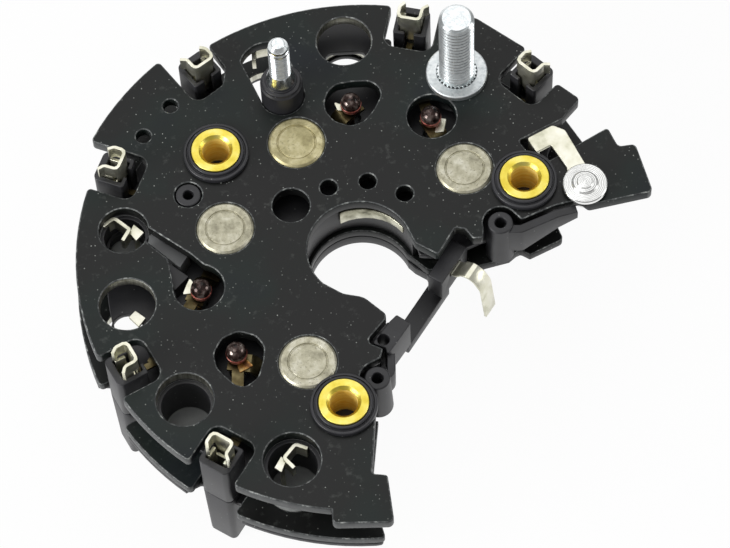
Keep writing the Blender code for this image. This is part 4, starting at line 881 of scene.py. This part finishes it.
# each unused terminal: the folded strip's path, its flat end plate, its top, its foot and where that stands
hooks = (
    ([(-11.6, 55.9, 0), (-19.0, 55.8, 0.8), (-21.9, 55.2, 0.8), (-21.9, 52.2, 0)], None,
     plateTop - 4.0, (-12.6, 55.5, -11.7, 56.3), webTop),
    ([(-56.9, 10.6, 0), (-54.6, 12.3, 0.9), (-51.2, 9.2, 0.4), (-52.8, 6.5, 0)],
     [(-50.3, 10.8), (-48.0, 8.6), (-49.8, 6.6), (-51.3, 8.7)],
     plateTop - 2.2, (-50.4, 8.0, -49.4, 9.0), slottedCup["floor"]),
    ([(-13.7, -46.5, 0), (-16.3, -45.3, 0.9), (-18.9, -48.4, 0.6), (-16.8, -50.9, 0)],
     [(-19.5, -47.6), (-21.1, -50.3), (-19.6, -51.5), (-18.6, -49.1)],
     plateTop - 3.0, (-20.0, -50.0, -19.0, -49.0), cup["floor"]),
)


def spareHooks():
    for i, (path, end, top, foot, floor) in enumerate(hooks, 1):
        node = f"spare_terminal_{i}"
        strip = slab([band(path, hook["thick"])], top - hook["deep"], top, 0.08, 1)
        tinPiece(f"spareHook{i}", placed(strip), node)
        if end:
            flag = slab([rounded([(x, y, 0.15) for x, y in end])], top - 1.6, top - 0.8, 0.08, 1)
            tinPiece(f"spareHookEnd{i}", placed(flag), node)
        tinPiece(f"spareHookFoot{i}", placed(slab([rectangle(*foot)], floor, top - 1.2, 0.08, 1)), node)


def innerArcStrip():
    # the strip inside the shaft wall narrows to the right as its lower edge climbs
    mesh = softened("inner_arc_strip")
    low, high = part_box("inner_arc_strip")
    for vertex in mesh.vertices:
        if vertex.co.z < (low.z + high.z) / 2:
            vertex.co.z += (0.6 + 2.6 * (vertex.co.x - low.x) / (high.x - low.x)) * mm
    tinPiece("innerArcStrip", mesh, "inner_arc_strip", stainedTin)


def leadTabs():
    # the bright ends of the strips that the lower diodes' leads are welded to
    tabs = ((1, tin, [(-4.2, 39.8), (-2.6, 39.0), (-2.0, 37.2), (-3.4, 37.4)]),
            (2, tin, [(18.4, 30.2), (19.2, 34.1), (21.3, 33.6), (20.5, 30.3)]),
            (3, tin, [(-38.1, -3.2), (-38.9, -4.8), (-39.9, -7.3), (-37.5, -7.1), (-37.0, -5.0)]),
            (4, leadMetal, [(-28.9, -23.2), (-26.0, -24.2), (-24.7, -25.7), (-27.8, -27.3)]))
    for i, look, corners in tabs:
        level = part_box(f"phase_strip_{i}")[1].z / mm - 0.5
        tab = slab([rounded([(x, y, 0.3) for x, y in corners])], level, level + 0.8, 0.1, 1)
        tinPiece(f"leadTab{i}", placed(tab), f"phase_strip_{i}", look)
    # the end of a strip that shows on the floor of the left seat
    seen = rounded([(-50.7, -8.5, 0.2), (-52.2, -10.1, 0.2), (-50.0, -12.6, 0.2), (-48.4, -10.5, 0.2)])
    tinPiece("stripEnd", placed(slab([seen], webTop + 0.05, webTop + 0.85, 0.1, 1)), "phase_strip_3")


diodes()
beads()
spareHooks()
innerArcStrip()
leadTabs()
for name in sorted(nodes):
    # the strips whose solids are right as they are
    if name.startswith(("stator_clip", "contact_tongue", "terminal_fork", "phase_strip")):
        # the phase strips take the dark tin, painted shade
        look = shadedStripTin if name.startswith("phase_strip") else tin
        tinPiece(name.title().replace("_", ""), softened(name), name, look)
print("diodes and strips made")

# bushes, collars, studs, link


def bushAndCollar(i, spot):
    top = plateTop + bush["rise"]
    under = top - bush["thick"]
    profile = [(bush["bore"], top - 0.75, 0.15), (bush["bore"] + 0.7, top, 0.15),
               (bush["flange"], top, 0.2), (bush["flange"], under, 0.1), (bush["radius"], under, 0.1),
               (bush["radius"], flangeBottom, 0.2), (bush["bore"], flangeBottom, 0.3)]
    obj = piece(f"mountingBush{i}", placed(spun(profile, 96), spot), f"mounting_bush_{i}",
                [turnedBrass(i, spot), boreBrassPaintedLight])
    for face in obj.data.polygons:
        if distance(face, spot) < bush["bore"] + 0.05 and face.center.z < (top - 0.75) * mm:
            face.material_index = 1  # the bore is drilled, and takes the brass with painted light
    lip, shelf, step = bush["flange"] + 0.12, under - 0.1, plateTop + collar["rise"]
    profile = [(lip, top - 0.2, 0.2), (collar["step"], top - 0.2, 0.35), (collar["step"], step - 0.25, 0.1),
               (collar["step"] + 0.3, step - 0.25, 0.1), (collar["step"] + 0.35, step, 0.15),
               (collar["radius"], step, 0.35), (collar["radius"], plateTop + 0.1, 0.1),
               (collar["tube"], plateTop + 0.1, 0), (collar["tube"], plateBottom, 0), (4.45, plateBottom, 0),
               (4.45, shelf, 0), (lip, shelf, 0)]
    carrierPiece(f"insulatingCollar{i}", placed(spun(profile, 96), spot), f"insulating_collar_{i}",
                 collarPlastic)


def zincPiece(name, mesh, node, look=zinc, sharp=35):
    return piece(name, mesh, node, look, sharp)


def threadedRod(major, root, pitch, chamfer, bottom, top, steps=48):
    # a helical thread: one ridge a pitch, spun once round while it climbs by a pitch, then cut off level
    shape = bmesh.new()
    points = []
    height = bottom - 2 * pitch
    while height < top + pitch:
        for rise, radius in ((0, root), (0.12, root), (0.46, major), (0.62, major)):
            points.append(shape.verts.new((radius * mm, 0, (height + rise * pitch) * mm)))
        height += pitch
    edges = [shape.edges.new(pair) for pair in zip(points, points[1:])]
    bmesh.ops.spin(shape, geom=points + edges, cent=(0, 0, 0), axis=(0, 0, 1), angle=math.tau,
                   dvec=(0, 0, pitch * mm / steps), steps=steps)
    bmesh.ops.remove_doubles(shape, verts=shape.verts, dist=0.003 * mm)
    for level, side in ((bottom, -1), (top, 1)):
        geometry = shape.verts[:] + shape.edges[:] + shape.faces[:]
        cut = bmesh.ops.bisect_plane(shape, geom=geometry, plane_co=(0, 0, level * mm), plane_no=(0, 0, side),
                                     clear_outer=True)
        rim = [item for item in cut["geom_cut"] if isinstance(item, bmesh.types.BMEdge)]
        bmesh.ops.edgenet_fill(shape, edges=rim)
    for vertex in shape.verts:
        # the tip is chamfered
        radius = math.hypot(vertex.co.x, vertex.co.y)
        most = (major - chamfer + (top - vertex.co.z / mm) * 1.2) * mm
        if radius > most:
            vertex.co.x *= most / radius
            vertex.co.y *= most / radius
    bmesh.ops.recalc_face_normals(shape, faces=shape.faces)
    return meshFrom(shape, "thread")


def batteryStud():
    spot, tip = stud["centre"], studHigh.z / mm
    base = plateTop + 1.7
    rod = threadedRod(stud["radius"], stud["root"], stud["pitch"], stud["chamfer"], base + 0.2, tip)
    zincPiece("batteryStud", placed(rod, spot), "battery_stud", sharp=25)
    # the pressed-in knurl shows as a toothed ring in the washer's hole
    teeth = [polar(stud["knurl"] - (0.3 if i % 4 in (1, 2) else 0), 360 * i / (4 * stud["teeth"]))
             for i in range(4 * stud["teeth"])]
    knurl = slab([teeth], plateBottom - 0.2, base + 0.25, 0.06, 1)
    zincPiece("batteryStudKnurl", placed(knurl, spot), "battery_stud", sharp=25)
    head = [(0, plateBottom - 0.1, 0), (6.0, plateBottom - 0.1, 0.3), (6.0, plateBottom - 3.8, 0.4),
            (0, plateBottom - 3.8, 0)]
    zincPiece("batteryStudHead", placed(spun(head, closed=False), spot), "battery_stud")
    hole = stud["knurl"] + 0.03
    washer = [(hole, plateTop + 1.6, 0.1), (7.0, plateTop + 1.6, 0.35), (7.0, plateTop + 0.1, 0.1),
              (hole, plateTop + 0.1, 0)]
    zincPiece("batteryStudWasher", placed(spun(washer, 96), spot), "battery_stud_washer", washerZinc)


def fieldStudAndSleeve():
    spot, radius = fieldStud["centre"], fieldStud["radius"]
    low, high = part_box("field_stud")
    shoulder, tip = plateTop + fieldStud["sleeveRise"], high.z / mm
    rod = threadedRod(radius, fieldStud["root"], fieldStud["pitch"], 0.1, shoulder + 3.2, tip - 2.6, 40)
    zincPiece("fieldStudThread", placed(rod, spot), "field_stud", sharp=25)
    # a rolled dog point with a groove under it, and a flared foot that presses on the sleeve
    point = [(0, tip, 0), (1.45, tip, 0.25), (2.25, tip - 1.2, 0.7), (2.3, tip - 1.9, 0.1),
             (2.05, tip - 2.15, 0.1), (radius, tip - 2.45, 0.1), (radius, tip - 3.0, 0), (0, tip - 3.0, 0)]
    zincPiece("fieldStudPoint", placed(spun(point, 64, False), spot), "field_stud")
    foot = low.z / mm
    seat = [(0, shoulder + 3.6, 0), (radius, shoulder + 3.6, 0.2), (fieldStud["foot"], shoulder + 0.9, 0.5),
            (fieldStud["foot"], shoulder + 0.1, 0.2), (radius, shoulder + 0.1, 0), (radius, foot + 2, 0),
            (3.2, foot + 2, 0.1), (3.2, foot, 0.2), (0, foot, 0)]
    zincPiece("fieldStudSeat", placed(spun(seat, 64, False), spot), "field_stud")
    outer, inner = fieldStud["sleeve"], radius + 0.1
    sleeve = [(inner, shoulder, 0.1), (3.55, shoulder, 0.2), (3.65, shoulder - 0.45, 0.1),
              (4.35, shoulder - 0.5, 0.25), (4.45, shoulder - 1.1, 0.1), (outer, shoulder - 1.6, 0.3),
              (outer, webTop + 0.1, 0.2), (3.4, webTop + 0.1, 0.1), (3.4, foot + 2.1, 0.1),
              (inner, foot + 2.1, 0.1)]
    carrierPiece("fieldStudSleeve", placed(spun(sleeve, 96), spot), "field_stud_sleeve", collarPlastic)


def linkAndRivet():
    bottom = plateTop + 0.1
    outline = rounded([(54.3, 12.4, 3.0), (51.6, 17.4, 0.6), (47.6, 26.6, 1.2), (44.9, 28.0, 1.0),
                       (39.0, 25.0, 0.5), (40.8, 21.3, 0.3), (44.2, 23.0, 0.6), (47.3, 17.0, 0.6),
                       (47.4, 11.0, 3.0), (51.0, 8.8, 3.0)])
    hole = circle(rivet["centre"], rivet["shank"] + 0.3, 40)
    tinPiece("linkStrip", placed(slab([outline, hole], bottom, bottom + 0.8, 0.1)), "link_strip")
    # its end is bent down into the slot
    lip = band([(39.6, 24.9, 0), (41.2, 21.6, 0)], 0.8)
    tinPiece("linkLip", placed(slab([lip], plateTop - 4.2, bottom + 0.6, 0.1)), "link_strip")
    seat, shank, head = bottom + 0.9, rivet["shank"], rivet["head"]
    profile = [(0, seat + 1.75, 0), (1.7, seat + 1.7, 0.3), (1.85, seat + 1.4, 0.1), (2.7, seat + 1.35, 0.3),
               (2.95, seat + 0.9, 0.2), (head - 0.2, seat + 0.85, 0.3), (head, seat, 0.15), (shank, seat, 0),
               (shank, plateBottom - 0.1, 0), (3.4, plateBottom - 0.1, 0.1), (3.0, plateBottom - 1.5, 0.4),
               (0, plateBottom - 1.5, 0)]
    piece("linkRivet", placed(spun(profile, 96, False), rivet["centre"]), "link_rivet",
          polishedAluminium(rivet["centre"]))


for number, spot in enumerate(bushes, 1):
    bushAndCollar(number, spot)
batteryStud()
fieldStudAndSleeve()
linkAndRivet()
print("bushes, studs and link made")

# camera, floor and light

# found by matching a camera to the photograph: millimetres, degrees, and the focal length in pixels
view = {"distance": 800.18, "elevation": 63.009, "roll": -3.212, "focal": 3618.2, "width": 730,
        "aim": (0.846, -6.473)}


def addCamera():
    up, roll = math.radians(view["elevation"]), math.radians(view["roll"])
    forward = Vector((0, math.cos(up), -math.sin(up)))
    side = Vector((1, 0, 0))
    above = side.cross(forward)
    right = math.cos(roll) * side + math.sin(roll) * above
    top = math.cos(roll) * above - math.sin(roll) * side
    target = shaftAxis + Vector((*view["aim"], plateTop)) * mm
    data = bpy.data.cameras.new("camera")
    data.sensor_width = 36
    data.lens = view["focal"] / view["width"] * data.sensor_width
    camera = addObject("camera", data)
    turn = Matrix((right, top, -forward)).transposed().to_4x4()
    camera.matrix_world = Matrix.Translation(target - forward * view["distance"] * mm) @ turn
    bpy.context.scene.camera = camera


def addFloor():
    shape = bmesh.new()
    bmesh.ops.create_grid(shape, x_segments=1, y_segments=1, size=6)
    floor = addObject("floor", meshFrom(shape, "floor"))
    # white paper: it glows for the camera and in metal, and still takes the object's shadow
    made, tree, shader, _ = newMaterial("whitePaper", "#F4F4F4", 0.9)
    rays = addNode(tree, "ShaderNodeLightPath")
    shiny = addNode(tree, "ShaderNodeMath", {"operation": "MAXIMUM"},
                    links={0: rays.outputs["Is Glossy Ray"], 1: rays.outputs["Is Transmission Ray"]})
    seen = addNode(tree, "ShaderNodeMath", {"operation": "MAXIMUM"},
                   links={0: rays.outputs["Is Camera Ray"], 1: shiny})
    share = addNode(tree, "ShaderNodeMath", {"operation": "MULTIPLY"}, {1: 0.95}, {0: seen})
    glow = addNode(tree, "ShaderNodeEmission", values={"Color": (1, 1, 1, 1), "Strength": 1.0})
    blend = addNode(tree, "ShaderNodeMixShader", links={0: share, 1: shader, 2: glow})
    feed(tree.nodes["Material Output"], {"Surface": blend})
    floor.data.materials.append(made)


# each lamp's place and width in metres, and its power in watts
softboxes = {"leftSoftbox": ((-0.85, -0.4, 0.4), 0.6, 8), "rightSoftbox": ((0.9, -0.05, 0.4), 0.5, 1.8),
             "topSoftbox": ((-0.3, -0.1, 1.1), 0.8, 2), "backSoftbox": ((0.0, 0.55, 1.0), 1.0, 2.5)}
worldLight = 0.32


def addLight(name, place, size, power):
    data = bpy.data.lights.new(name, "AREA")
    data.shape = "DISK"
    data.size = size
    data.energy = power
    lamp = addObject(name, data)
    lamp.location = place
    lamp.rotation_euler = (-Vector(place)).to_track_quat("-Z", "Y").to_euler()


def addWorld():
    world = bpy.data.worlds.new("studio")
    world.use_nodes = True
    background = world.node_tree.nodes["Background"]
    background.inputs["Color"].default_value = (1, 1, 1, 1)
    background.inputs["Strength"].default_value = worldLight
    bpy.context.scene.world = world


addCamera()
addFloor()
for name, (place, size, power) in softboxes.items():
    addLight(name, place, size, power)
addWorld()
bpy.context.scene.view_settings.view_transform = "Standard"

print("scene made")
